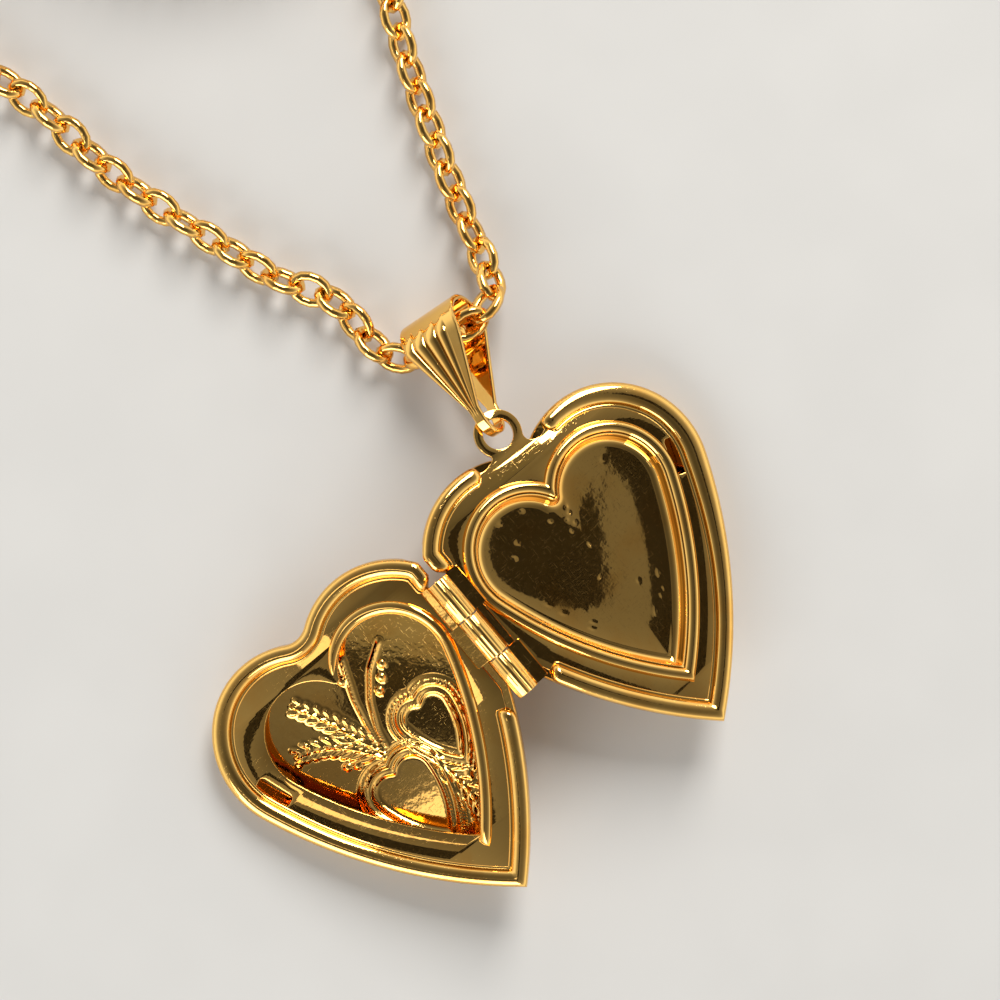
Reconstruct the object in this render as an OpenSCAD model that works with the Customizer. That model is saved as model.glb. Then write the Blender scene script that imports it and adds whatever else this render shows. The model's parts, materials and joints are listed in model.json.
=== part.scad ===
// Heart locket that opens on a side hinge, with a fold-over bail and a cable
// chain closed by a spring ring clasp.  Millimetres, Z up, standing on z = 0.
// The hinge pin lies along Y; the back leaf is on +X and the cover on -X.

/* [Leaf outline] */
// Radius of the two round lobes
lobe_r = 5.55; // [5.2:0.05:6.2]
// Half the distance between the lobe centres
lobe_x = 3.7; // [3.4:0.05:4.1]
// Height of the lobe centres above the outline's centre line
lobe_y = 5.1; // [4.4:0.1:6]
// Distance of the tip below the centre line
tip_drop = 9.6; // [8:0.1:11.6]
// Radius of the two long sides
side_r = 30; // [26:1:36]
// Fillet between the lobes
notch_r = 1.6; // [1.4:0.1:2]

/* [Inner heart] */
// Radius of the lobes of the picture recess and of the window
inner_lobe_r = 3.2; // [2.7:0.05:3.6]
// Half the distance between the inner lobe centres
inner_lobe_x = 3.0; // [2.5:0.05:3.2]
// Distance of the inner tip below the centre line
inner_tip_drop = 5.6; // [4.5:0.1:6.2]
// Width of the raised lip round the inner heart
lip_w = 0.7; // [0.4:0.05:0.9]

/* [Leaf depth] */
// Depth of a leaf from the parting plane to the bottom of its dome
leaf_depth = 2.6; // [2.2:0.1:3.4]
// Thickness of the domed sheet
sheet_t = 0.3; // [0.2:0.05:0.4]
// Width of the rolled rim
rim_w = 1.1; // [0.9:0.05:1.3]
// Height of the rolled rim
rim_h = 0.9; // [0.8:0.05:1.1]
// Width of the ledge and groove that hold the inner plate
groove_w = 0.5; // [0.4:0.05:0.6]
// Thickness of the inner plates
plate_t = 0.3; // [0.25:0.05:0.35]
// Thickness of the part of the rim that is folded over the plate
fold_t = 0.4; // [0.3:0.05:0.5]
// Depth of the picture recess below the plate's flat margin
recess_depth = 0.9; // [0.6:0.1:1]
// Height of the raised lip above the flat margin
lip_h = 0.3; // [0.15:0.05:0.35]
// Gap between each leaf's rim and the parting plane
parting_gap = 0.05; // [0.03:0.01:0.1]

/* [Hinge] */
// Distance from the hinge pin to the outline's centre line
hinge_x = 8.2; // [7.9:0.05:9.6]
// Slant of the outline against the hinge pin, in degrees
slant = 3; // [2:0.5:4]
// How far each leaf leans down from level when laid open, in degrees
lean = 15; // [10:1:18]
// Outer radius of the knuckles
knuckle_r = 0.68; // [0.6:0.02:0.8]
// Length of each of the three knuckles
knuckle_len = 2.6; // [2.2:0.1:2.8]
// End gap between knuckles
knuckle_gap = 0.1; // [0.06:0.02:0.2]
// Place of the middle knuckle along the pin, from the outline's centre
knuckle_mid_y = 3.1; // [2.6:0.1:3.6]
// Radius of the hinge pin
pin_r = 0.3; // [0.25:0.01:0.4]
// Running clearance round the pin, on the radius
pin_clear = 0.04; // [0.02:0.01:0.06]
// Clearance between a knuckle and the other leaf
knuckle_clear = 0.14; // [0.1:0.02:0.2]

/* [Ear and catch] */
// Radius of the hole in the ear
ear_hole_r = 0.9; // [0.8:0.05:1]
// Radius of the ear's round end
ear_r = 1.42; // [1.3:0.02:1.6]
// Height of the ear hole above the outline's centre line
ear_y = 11.2; // [10.8:0.1:11.8]
// Offset of the ear from the centre line, towards the hinge
ear_x = -0.4; // [-0.8:0.1:0]
// Width of the ear where it leaves the rim
ear_base_w = 3.7; // [3.2:0.1:4.2]
// Length of the catch opening
catch_l = 2.2; // [1.8:0.1:2.6]
// Width of the catch opening
catch_w = 0.8; // [0.6:0.05:0.9]
// Inset of the catch opening's middle from the outline
catch_inset = 1.75; // [1.7:0.05:2]
// Direction of the catch from the far lobe's centre, in degrees
catch_angle = -16; // [-30:2:10]

/* [Bail] */
// Thickness of the bail's strip
bail_t = 0.34; // [0.3:0.02:0.4]
// Width of the bail at its top
bail_top_w = 3.9; // [3.2:0.1:4.6]
// Room in the ear's hole on both sides of the bail's hook, which crosses it slantwise
hook_slack = 0.55; // [0.52:0.01:0.58]
// Inner radius of the bail's top loop
bail_top_r = 1.5; // [1.4:0.05:1.8]
// Room between the ear's bar and the inside of the hook
hook_room = 0.6; // [0.58:0.01:0.64]
// Distance between the centres of the loop and the hook
bail_len = 5.1; // [4.6:0.1:6]

/* [Chain] */
// Outside width of the chain's links
chain_d = 2.2; // [1.8:0.1:2.4]
// Radius of the coil at the middle of its turns
coil_r = 12.5; // [12:0.5:13.5]
// Turns that lie side by side in a layer of the coil
coil_turns = 3; // [2:1:3]
// Layers in the coil
coil_layers = 2; // [1:1:2]

/* [Clasp] */
// Radius of the clasp ring at the middle of its tube
clasp_r = 2.6; // [2.4:0.1:3]
// Radius of the clasp ring's tube
clasp_tube_r = 0.72; // [0.66:0.02:0.84]
// Radius of the clasp's sliding gate
gate_r = 0.4; // [0.34:0.02:0.46]
// Running clearance round the gate, on the radius
gate_clear = 0.05; // [0.03:0.01:0.08]
// Angle of the opening that the gate closes
gate_open = 54; // [44:2:60]
// Wire radius of the jump rings
ring_wire = 0.3; // [0.26:0.02:0.34]
// Radius of the jump rings at the middle of the wire
ring_r = 1.1; // [1.05:0.05:1.3]
// Hole radius of the flat end ring
end_hole_r = 1.5; // [1.3:0.1:1.7]
// Width of the flat end ring's band
end_band = 0.8; // [0.6:0.1:1]

/* [Hidden] */
$fn = 96;
eps = 0.01;
gold = [0.93, 0.72, 0.30];
deep_gold = [0.85, 0.60, 0.22];
pale_gold = [0.96, 0.80, 0.42];

// A heart is [lobe radius, lobe x, lobe y, tip drop, side radius, notch fillet]
outer = [lobe_r, lobe_x, lobe_y, tip_drop, side_r, notch_r];
inner_lobe_y = lobe_y - 0.4;
inner = [inner_lobe_r, inner_lobe_x, inner_lobe_y, inner_tip_drop, side_r - 6, 0.3];

// Centre of the long side's arc: it passes the tip, and runs into the lobe so that the
// two circles cross at a few degrees, since circles that only touch don't join cleanly
bite = 0.01;
function side_centre(h) =
    let (c = [h[1], h[2]], t = [0, -h[3]], a = h[4] - h[0] + bite, b = h[4],
         d = norm(t - c), u = (t - c) / d, v = [u[1], -u[0]],
         k = (a * a - b * b + d * d) / (2 * d), q = sqrt(a * a - k * k))
    c + k * u + q * v;

// Height where the lobe's circle hands over to the side's arc
function handover_y(h) =
    let (s = side_centre(h), c = [h[1], h[2]], u = (c - s) / norm(c - s))
    c[1] + h[0] * u[1];

function notch_centre(h) = h[2] + sqrt(pow(h[0] + h[5], 2) - h[1] * h[1]);

// The outline grown by d (or shrunk when d is negative)
module heart(h, d = 0) {
    s = side_centre(h);
    y = handover_y(h);
    for (side = [-1, 1]) translate([side * h[1], h[2]]) circle(h[0] + d);
    intersection() {
        translate(s) circle(h[4] + d, $fn = 240);
        translate([-s[0], s[1]]) circle(h[4] + d, $fn = 240);
        translate([-20, y - 40]) square([40, 40]);
    }
    difference() {
        polygon([[-h[1], h[2]], [h[1], h[2]], [0, notch_centre(h)]]);
        translate([0, notch_centre(h)]) circle(max(h[5] - d, 0.02) + bite);
    }
}

// Heights in a leaf, whose parting plane is z = 0 and whose dome is below
rim_top = -parting_gap;
plate_top = rim_top - fold_t;
plate_low = plate_top - plate_t;
rim_low = rim_top - rim_h;
ledge_t = 0.3;
ledge_w = groove_w + 0.3;
wall_inset = 0.15;
dome_r = 60;

// The leaf's straight side runs beside the knuckles; past them the rim reaches in
// until the two rims all but meet, which stops the hinge at twice the lean past flat
wall_x = knuckle_r + knuckle_clear;
rim_x = 0.02 + (rim_h + parting_gap) * tan(lean + 1);
knuckle_pitch = knuckle_len + knuckle_gap;
knuckle_low_y = knuckle_mid_y - knuckle_pitch;
knuckle_up_y = knuckle_mid_y + knuckle_pitch;
hinge_span = 3 * knuckle_len + 2 * knuckle_gap;
strap_x = wall_x + 0.7;
ear_bar = ear_r - ear_hole_r;
bail_hook_w = 2 * (ear_hole_r - hook_slack);
bail_hook_r = ear_bar / 2 + hook_room;

// Standing height of the pin: the low corner of each dome touches z = 0
corner = [lobe_x + lobe_r - wall_inset, lobe_y];
corner_x = hinge_x + corner[0] * cos(slant) + corner[1] * sin(slant);
corner_sag = dome_r - sqrt(dome_r * dome_r - corner * corner);
stand = corner_x * sin(lean) + (leaf_depth - corner_sag) * cos(lean);

// Place of the bail's hook from the pin: in the ear's bar, and a little aside because the
// bail lies rolled over and its strip crosses the hole slantwise
hook_shift = 0.16;
hook_out = [ear_x + hook_shift, ear_y + ear_hole_r + ear_bar / 2, plate_low + plate_t / 2];
hook_leaf = [hinge_x + hook_out[0] * cos(slant) + hook_out[1] * sin(slant),
             hook_out[1] * cos(slant) - hook_out[0] * sin(slant), hook_out[2]];
hook = [hook_leaf[0] * cos(lean) + hook_leaf[2] * sin(lean), hook_leaf[1],
        stand - hook_leaf[0] * sin(lean) + hook_leaf[2] * cos(lean)];

// The bail lies on its side: heading, roll about its length and fall of its top
bail_heading = 12;
bail_roll = 27;
loop_out_r = bail_top_r + bail_t;
loop_z = loop_out_r * cos(bail_roll) + bail_top_w / 2 * sin(bail_roll) + 0.02;
bail_fall = asin((hook[2] - loop_z) / bail_len);

// Extent along Y, used to centre the object on its origin
tip_y = -tip_drop * cos(slant);
bail_top_y = hook[1] + bail_len * cos(bail_fall) * cos(bail_heading) + loop_out_r
             + bail_top_w / 2 * sin(bail_heading) * cos(bail_roll) - 0.15;
mid_y = (bail_top_y + tip_y) / 2;

// Routes of the chain: from the middle of the bail's loop out to the coil, and
// from the coil's inside to the link at each end
coil_at = [22, 50];
coil_half = coil_turns * chain_d / 2;
left_route = [[9.2, 12.4, 2.55], [7.9, 12.53, 2.0], [6.9, 12.8, 1.5], [6.0, 13.6, 1.2],
              [5.7, 15.2, 1.1], [6.0, 17.2, 1.1], [5.4, 19.2, 1.1], [4.0, 21.2, 1.1],
              [3.2, 23.6, 1.1], [2.4, 26.0, 1.1], [1.6, 28.4, 1.1], [0.9, 31.0, 1.1],
              [0.3, 33.8, 1.1], [0.1, 36.6, 1.1], [-0.6, 39.6, 1.1], [-1.5, 42.6, 1.1],
              [-1.6, 45.8, 1.1], [-0.4, 49.2, 1.1], [1.8, 52.6, 1.1], [4.8, 55.8, 1.1],
              [8.6, 58.6, 1.1]];
right_route = [[9.2, 12.4, 2.55], [10.1, 12.25, 3.1], [11.2, 12.1, 3.5], [12.4, 12.3, 3.2],
               [13.4, 13.2, 2.2], [13.9, 14.8, 1.4], [14.4, 16.6, 1.1], [15.0, 18.4, 1.1],
               [15.6, 20.3, 1.1], [16.4, 22.4, 1.1], [17.2, 24.6, 1.1], [18.0, 26.6, 1.1],
               [19.0, 28.8, 1.1], [20.4, 31.2, 1.3], [22.4, 33.2, 2.1], [25.0, 34.8, 3.3]];
left_tail_route = [[12.8, 46.0, 1.1], [13.9, 46.2, 1.1], [15.0, 46.4, 1.1]];
right_tail_route = [[31.5, 52.8, 2.0], [30.5, 53.1, 1.7], [29.5, 53.4, 1.4]];

// Spring ring clasp, lying flat inside the coil, its opening towards the end ring
clasp_at = [coil_at[0] - 0.6, coil_at[1] - 3.5, clasp_tube_r];
bore_r = gate_r + gate_clear;
knob_turn = 14;
spring_turn = 80;
eye_r = 0.95;
eye_wire = 0.28;
eye_at = clasp_at + [-clasp_r - clasp_tube_r - eye_r - 0.05, 0, 0.23];

// Flat end ring with a small eyelet, which the link that stands through it lifts
end_t = 0.8;
end_tilt = 7;
end_at = [coil_at[0] + 2.4, coil_at[1] + 3.5, (end_hole_r + end_band) * sin(end_tilt)];
eyelet_r = 0.6;
eyelet_band = 0.5;
eyelet_x = end_hole_r + end_band + eyelet_r + 0.1;
link_z = ring_r + ring_wire;

module place_leaf(side) {
    mirror([side < 0 ? 1 : 0, 0, 0])
        translate([0, -mid_y, stand]) rotate([0, lean, 0]) children();
}

// From the leaf's hinge frame to the outline's own frame
module on_outline() {
    translate([hinge_x, 0, 0]) rotate([0, 0, -slant]) children();
}

module heart_slab(low, high, h, d = 0) {
    translate([0, 0, low]) linear_extrude(high - low) on_outline() heart(h, d);
}

// The leaf's own outline: a heart with one straight side along the hinge
module leaf_slab(low, high, d = 0, flat = wall_x) {
    translate([0, 0, low]) linear_extrude(high - low) intersection() {
        on_outline() heart(outer, d);
        translate([flat - d, -30]) square([40, 60]);
    }
}

module dome_ball(rise = 0) {
    translate([hinge_x, 0, dome_r - leaf_depth + rise]) rotate([90, 0, 0])
        sphere(dome_r, $fn = 200);
}

module along_hinge(low_x, high_x, low_z, high_z) {
    translate([low_x, knuckle_mid_y - hinge_span / 2 - knuckle_gap, low_z])
        cube([high_x - low_x, hinge_span + 2 * knuckle_gap, high_z - low_z]);
}

// Domed sheet with its rolled rim, the groove for the plate and the ledge under it
module leaf_shell() {
    difference() {
        union() {
            leaf_slab(rim_low, rim_top, 0, rim_x);
            intersection() {
                leaf_slab(-leaf_depth, rim_low + eps, -wall_inset);
                dome_ball();
            }
        }
        leaf_slab(plate_low, plate_top, -groove_w);
        leaf_slab(plate_top - eps, 1, -rim_w);
        leaf_slab(plate_low - ledge_t - eps, plate_low + eps, -ledge_w);
        intersection() {
            leaf_slab(-leaf_depth, plate_low - ledge_t, -wall_inset - sheet_t);
            dome_ball(sheet_t);
        }
        along_hinge(-2, wall_x, -4, 1);
        along_hinge(-2, strap_x + 0.03, plate_top, 1);
        heart_slab(plate_top - eps, 1, inner, lip_w + 0.05);
    }
}

module ear_outline(grow = 0) {
    half = ear_base_w / 2 + grow;
    translate([ear_x, ear_y]) circle(ear_r + grow);
    polygon([[ear_x - ear_r - grow, ear_y], [ear_x + ear_r + grow, ear_y],
             [ear_x + half, lobe_y + 3.6], [ear_x + half, lobe_y + 2],
             [ear_x - half, lobe_y + 2], [ear_x - half, lobe_y + 3.6]]);
}

module catch_cut() {
    on_outline() translate([lobe_x, lobe_y, 0]) rotate([0, 0, catch_angle])
        translate([lobe_r - catch_inset - catch_w / 2, -catch_l / 2, plate_low - 1])
            cube([catch_w, catch_l, 3]);
}

// The rim stops on both sides of the ear
module back_shell() {
    color(gold) place_leaf(1) difference() {
        leaf_shell();
        translate([0, 0, plate_low]) linear_extrude(2) on_outline() ear_outline(0.05);
    }
}

// Plate with the picture recess, its raised lip, the ear and the catch opening
module back_plate() {
    pan_low = plate_low - recess_depth;
    color(deep_gold) place_leaf(1) difference() {
        union() {
            leaf_slab(plate_low, plate_top, -groove_w);
            translate([0, 0, plate_low]) linear_extrude(plate_t) on_outline() ear_outline();
            heart_slab(plate_low, plate_top + lip_h, inner, lip_w);
            heart_slab(pan_low, plate_low + eps, inner, plate_t);
        }
        heart_slab(pan_low + plate_t, 1, inner);
        on_outline() translate([ear_x, ear_y, plate_low - 1]) cylinder(r = ear_hole_r, h = 3);
        catch_cut();
    }
}

module cover_shell() {
    color(gold) place_leaf(-1) leaf_shell();
}

// Frame with the picture window, its lip and the pocket of the catch
module cover_frame() {
    color(deep_gold) place_leaf(-1) difference() {
        union() {
            leaf_slab(plate_low, plate_top, -groove_w);
            heart_slab(plate_low, plate_top + lip_h, inner, lip_w);
        }
        heart_slab(plate_low - 1, 1, inner);
        catch_cut();
    }
}

// A rolled knuckle with the strap that joins it to its leaf's plate
module knuckle(y) {
    difference() {
        union() {
            translate([0, y + knuckle_len / 2, 0]) rotate([90, 0, 0])
                cylinder(r = knuckle_r, h = knuckle_len);
            translate([0, y - knuckle_len / 2, plate_top])
                cube([strap_x, knuckle_len, rim_top - plate_top]);
        }
        translate([0, y + knuckle_len / 2 + 1, 0]) rotate([90, 0, 0])
            cylinder(r = pin_r + pin_clear, h = knuckle_len + 2);
    }
}

module back_knuckle_upper() {
    color(pale_gold) place_leaf(1) knuckle(knuckle_up_y);
}

module back_knuckle_lower() {
    color(pale_gold) place_leaf(1) knuckle(knuckle_low_y);
}

module cover_knuckle() {
    color(pale_gold) place_leaf(-1) knuckle(knuckle_mid_y);
}

module hinge_pin() {
    color(deep_gold) translate([0, knuckle_mid_y - mid_y + hinge_span / 2 + 0.1, stand])
        rotate([90, 0, 0]) cylinder(r = pin_r, h = hinge_span + 0.2);
}

// A band's outline: a circle round the hook at 0, one round the loop at bail_len, and
// straight sides whose corners lie a bite inside the circles
module bail_side(grow) {
    ra = bail_hook_r + grow;
    rb = bail_top_r + grow;
    t = 90 + asin((rb - ra) / bail_len);
    circle(ra);
    translate([bail_len, 0]) circle(rb);
    polygon([for (c = [[0, ra, t], [0, ra, -t], [bail_len, rb, -t], [bail_len, rb, t]])
        [c[0] + (c[1] - bite) * cos(c[2]), (c[1] - bite) * sin(c[2])]]);
}

module place_bail() {
    translate([hook[0], hook[1] - mid_y, hook[2]])
        rotate([0, 0, -bail_heading]) rotate([-bail_fall, 0, 0]) rotate([0, -bail_roll, 0])
            children();
}

// Fold-over bail: a tapered strip whose hook passes through the ear
module bail() {
    color(gold) place_bail() intersection() {
        rotate([90, 0, 90]) translate([0, 0, -bail_top_w / 2])
            linear_extrude(bail_top_w) difference() {
                bail_side(bail_t);
                bail_side(0);
            }
        translate([0, 0, -3]) linear_extrude(6)
            polygon([[-bail_hook_w / 2, -2], [bail_hook_w / 2, -2], [bail_hook_w / 2, 0.6],
                     [bail_top_w / 2, bail_len], [bail_top_w / 2, bail_len + 3],
                     [-bail_top_w / 2, bail_len + 3], [-bail_top_w / 2, bail_len],
                     [-bail_hook_w / 2, 0.6]]);
    }
}

// One ring of a tube's points round the route's point i
function heading(p, i) =
    let (a = p[max(i - 1, 0)], b = p[min(i + 1, len(p) - 1)]) (b - a) / norm(b - a);
function tube_ring(p, i, r, n) =
    let (d = heading(p, i), s = cross(d, [0, 0, 1]) / norm(cross(d, [0, 0, 1])),
         u = cross(s, d))
    [for (k = [0:n - 1]) p[i] + r * (cos(360 * k / n) * s + sin(360 * k / n) * u)];

module tube(p, r, n = 8) {
    last = (len(p) - 1) * n;
    points = [for (i = [0:len(p) - 1]) each tube_ring(p, i, r, n)];
    faces = concat(
        [[for (k = [0:n - 1]) k]],
        [for (i = [0:len(p) - 2]) for (k = [0:n - 1])
            [i * n + k, (i + 1) * n + k, (i + 1) * n + (k + 1) % n, i * n + (k + 1) % n]],
        [[for (k = [n - 1:-1:0]) last + k]]);
    polyhedron(points, faces, convexity = 4);
}

module chain_left() {
    color(gold) tube(left_route, chain_d / 2);
}

module chain_right() {
    color(gold) tube(right_route, chain_d / 2);
}

module chain_coil() {
    color(gold) translate(coil_at) rotate_extrude()
        translate([coil_r - coil_half, 0]) square([2 * coil_half, coil_layers * chain_d]);
}

module chain_left_tail() {
    color(gold) tube(left_tail_route, chain_d / 2);
}

module chain_right_tail() {
    color(gold) tube(right_tail_route, chain_d / 2);
}

module arc_tube(r, from, turn) {
    rotate([0, 0, from]) rotate_extrude(angle = turn) translate([clasp_r, 0]) circle(r, $fn = 48);
}

module clasp_ring() {
    half = gate_open / 2;
    color(gold) translate(clasp_at) difference() {
        arc_tube(clasp_tube_r, half, 360 - gate_open);
        arc_tube(bore_r, half - 1, 180);
        rotate([0, 0, half - 1]) rotate_extrude(angle = knob_turn + gate_open + 6)
            translate([clasp_r, -0.28]) square([3, 0.56]);
    }
}

module clasp_gate() {
    half = gate_open / 2;
    color(pale_gold) translate(clasp_at) {
        arc_tube(gate_r, -half + 1, gate_open + 40);
        rotate([0, 0, half + 8]) translate([clasp_r, 0, 0]) rotate([0, 90, 0])
            cylinder(r = 0.22, h = clasp_tube_r + 0.45);
    }
}

module clasp_spring() {
    color(deep_gold) translate(clasp_at)
        arc_tube(bore_r, 179 + gate_open / 2 - 1 - spring_turn, spring_turn);
}

module flat_ring(r, wire) {
    rotate_extrude() translate([r, 0]) circle(wire, $fn = 48);
}

module clasp_eye() {
    color(gold) translate(eye_at) flat_ring(eye_r, eye_wire);
}

module upright_link(x, y) {
    color(gold) translate([x, y, link_z]) rotate([90, 0, 0]) flat_ring(ring_r, ring_wire);
}

// Its wire stands in the middle of the clasp's eye
module clasp_link() {
    rise = link_z - eye_at[2];
    upright_link(eye_at[0] + 0.05 - sqrt(ring_r * ring_r - rise * rise), eye_at[1]);
}

module end_ring() {
    color(gold) translate(end_at) rotate([0, -end_tilt, 0]) difference() {
        union() {
            cylinder(r = end_hole_r + end_band, h = end_t);
            translate([eyelet_x, 0, 0]) cylinder(r = eyelet_r + eyelet_band, h = end_t);
        }
        translate([0, 0, -1]) cylinder(r = end_hole_r, h = 3);
        translate([eyelet_x, 0, -1]) cylinder(r = eyelet_r, h = 3);
    }
}

// It is centred on the eyelet's outer band
module end_link() {
    upright_link(end_at[0] + (eyelet_x + eyelet_r + eyelet_band / 2) * cos(end_tilt), end_at[1]);
}

back_shell();
back_plate();
back_knuckle_upper();
back_knuckle_lower();
hinge_pin();
cover_shell();
cover_frame();
cover_knuckle();
bail();
chain_left();
chain_right();
chain_coil();
chain_left_tail();
chain_right_tail();
clasp_ring();
clasp_gate();
clasp_spring();
clasp_eye();
clasp_link();
end_link();
end_ring();
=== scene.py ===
"""Open heart locket on a cable chain: every visible piece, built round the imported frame."""

import json
import math
import random

import bpy
import numpy as np
from mathutils import Vector
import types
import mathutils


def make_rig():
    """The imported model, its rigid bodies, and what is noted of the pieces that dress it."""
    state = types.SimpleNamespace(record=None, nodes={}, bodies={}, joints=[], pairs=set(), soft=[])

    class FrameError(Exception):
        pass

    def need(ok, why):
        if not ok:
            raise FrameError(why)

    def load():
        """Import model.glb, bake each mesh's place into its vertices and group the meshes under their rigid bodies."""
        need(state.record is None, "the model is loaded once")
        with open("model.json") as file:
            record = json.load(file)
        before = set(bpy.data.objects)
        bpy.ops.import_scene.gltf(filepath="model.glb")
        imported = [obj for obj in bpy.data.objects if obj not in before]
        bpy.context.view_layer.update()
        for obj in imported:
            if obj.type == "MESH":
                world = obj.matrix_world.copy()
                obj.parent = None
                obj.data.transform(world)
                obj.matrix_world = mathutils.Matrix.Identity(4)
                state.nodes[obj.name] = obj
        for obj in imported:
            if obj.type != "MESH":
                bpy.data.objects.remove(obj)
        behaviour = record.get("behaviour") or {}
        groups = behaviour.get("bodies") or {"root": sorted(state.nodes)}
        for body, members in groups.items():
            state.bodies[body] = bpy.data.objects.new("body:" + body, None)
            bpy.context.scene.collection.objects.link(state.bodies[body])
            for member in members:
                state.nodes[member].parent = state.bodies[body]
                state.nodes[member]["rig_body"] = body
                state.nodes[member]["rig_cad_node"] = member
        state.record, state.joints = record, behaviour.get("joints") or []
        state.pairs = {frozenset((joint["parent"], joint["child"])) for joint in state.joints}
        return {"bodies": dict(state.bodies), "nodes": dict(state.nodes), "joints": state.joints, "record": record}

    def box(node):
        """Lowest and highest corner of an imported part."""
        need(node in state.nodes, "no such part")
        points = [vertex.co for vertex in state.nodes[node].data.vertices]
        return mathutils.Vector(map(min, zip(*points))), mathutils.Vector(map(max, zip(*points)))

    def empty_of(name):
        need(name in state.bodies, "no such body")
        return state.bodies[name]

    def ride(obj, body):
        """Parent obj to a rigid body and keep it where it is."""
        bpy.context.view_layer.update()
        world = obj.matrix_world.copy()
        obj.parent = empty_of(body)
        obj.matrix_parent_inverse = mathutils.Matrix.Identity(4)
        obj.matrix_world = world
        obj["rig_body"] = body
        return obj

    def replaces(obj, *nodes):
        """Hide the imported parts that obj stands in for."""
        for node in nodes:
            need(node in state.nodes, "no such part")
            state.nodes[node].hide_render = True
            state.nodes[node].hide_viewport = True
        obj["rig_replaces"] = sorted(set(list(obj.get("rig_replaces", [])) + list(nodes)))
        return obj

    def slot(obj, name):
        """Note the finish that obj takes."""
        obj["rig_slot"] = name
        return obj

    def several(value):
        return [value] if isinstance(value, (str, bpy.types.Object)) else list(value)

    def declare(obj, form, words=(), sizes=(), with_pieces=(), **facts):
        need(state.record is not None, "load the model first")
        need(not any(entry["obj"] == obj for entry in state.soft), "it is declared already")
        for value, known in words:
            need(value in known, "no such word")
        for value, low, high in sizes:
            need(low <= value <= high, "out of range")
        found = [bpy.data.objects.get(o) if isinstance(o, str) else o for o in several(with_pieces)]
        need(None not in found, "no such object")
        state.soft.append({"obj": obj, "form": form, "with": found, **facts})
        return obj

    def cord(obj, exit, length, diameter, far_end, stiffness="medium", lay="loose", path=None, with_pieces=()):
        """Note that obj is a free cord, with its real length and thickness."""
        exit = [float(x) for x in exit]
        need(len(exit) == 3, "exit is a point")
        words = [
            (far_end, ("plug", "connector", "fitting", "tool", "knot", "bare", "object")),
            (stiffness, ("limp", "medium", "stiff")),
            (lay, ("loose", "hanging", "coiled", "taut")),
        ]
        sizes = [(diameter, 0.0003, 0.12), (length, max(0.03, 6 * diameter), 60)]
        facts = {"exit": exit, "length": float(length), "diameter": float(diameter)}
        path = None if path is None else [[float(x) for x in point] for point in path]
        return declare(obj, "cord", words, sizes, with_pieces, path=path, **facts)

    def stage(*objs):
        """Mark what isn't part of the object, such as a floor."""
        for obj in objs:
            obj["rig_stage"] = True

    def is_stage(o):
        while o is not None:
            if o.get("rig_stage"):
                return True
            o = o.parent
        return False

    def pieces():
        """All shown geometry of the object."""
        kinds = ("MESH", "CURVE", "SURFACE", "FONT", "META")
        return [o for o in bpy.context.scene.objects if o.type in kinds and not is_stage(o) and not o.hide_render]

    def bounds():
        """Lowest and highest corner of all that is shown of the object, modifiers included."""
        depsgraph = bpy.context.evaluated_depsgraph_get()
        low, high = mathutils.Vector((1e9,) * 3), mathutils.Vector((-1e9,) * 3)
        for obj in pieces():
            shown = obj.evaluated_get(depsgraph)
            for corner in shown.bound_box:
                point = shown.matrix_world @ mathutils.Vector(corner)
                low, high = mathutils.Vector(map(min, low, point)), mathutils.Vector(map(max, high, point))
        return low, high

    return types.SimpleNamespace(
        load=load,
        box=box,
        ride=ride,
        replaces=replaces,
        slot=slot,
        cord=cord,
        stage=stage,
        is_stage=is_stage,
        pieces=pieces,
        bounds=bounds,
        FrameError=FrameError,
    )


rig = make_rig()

bl_info = {
    "name": "Heart locket necklace",
    "version": (1, 0, 0),
    "blender": (4, 5, 0),
    "location": "View3D > Sidebar > Locket",
    "description": "Builds an open heart locket with its bail, chain and clasp",
    "category": "Add Mesh",
}

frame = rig.load()
CAD_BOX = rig.bounds()
JOINTS = {joint["name"]: joint for joint in frame["joints"]}
MM = 0.001
SIZE_FILE = "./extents.json"
CAMERA_AT = (0.00407, 0.007135, 0.1626)
CAMERA_RIGHT = (0.76618, -0.64223, 0.02269)
CAMERA_BACK = (-0.00984, 0.02358, 0.99967)
CAMERA_LENS = 100.8
AIM = (0, 0.005, 0)
COIL_AT = (22.0, 50.0)


def length(name, description, mm):
    return bpy.props.FloatProperty(
        name=name, description=description, default=mm * MM, min=0.0,
        unit="LENGTH", subtype="DISTANCE", precision=5)


def colour(name, description, rgb):
    return bpy.props.FloatVectorProperty(
        name=name, description=description, default=rgb, size=3, min=0.0, max=1.0,
        subtype="COLOR")


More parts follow.
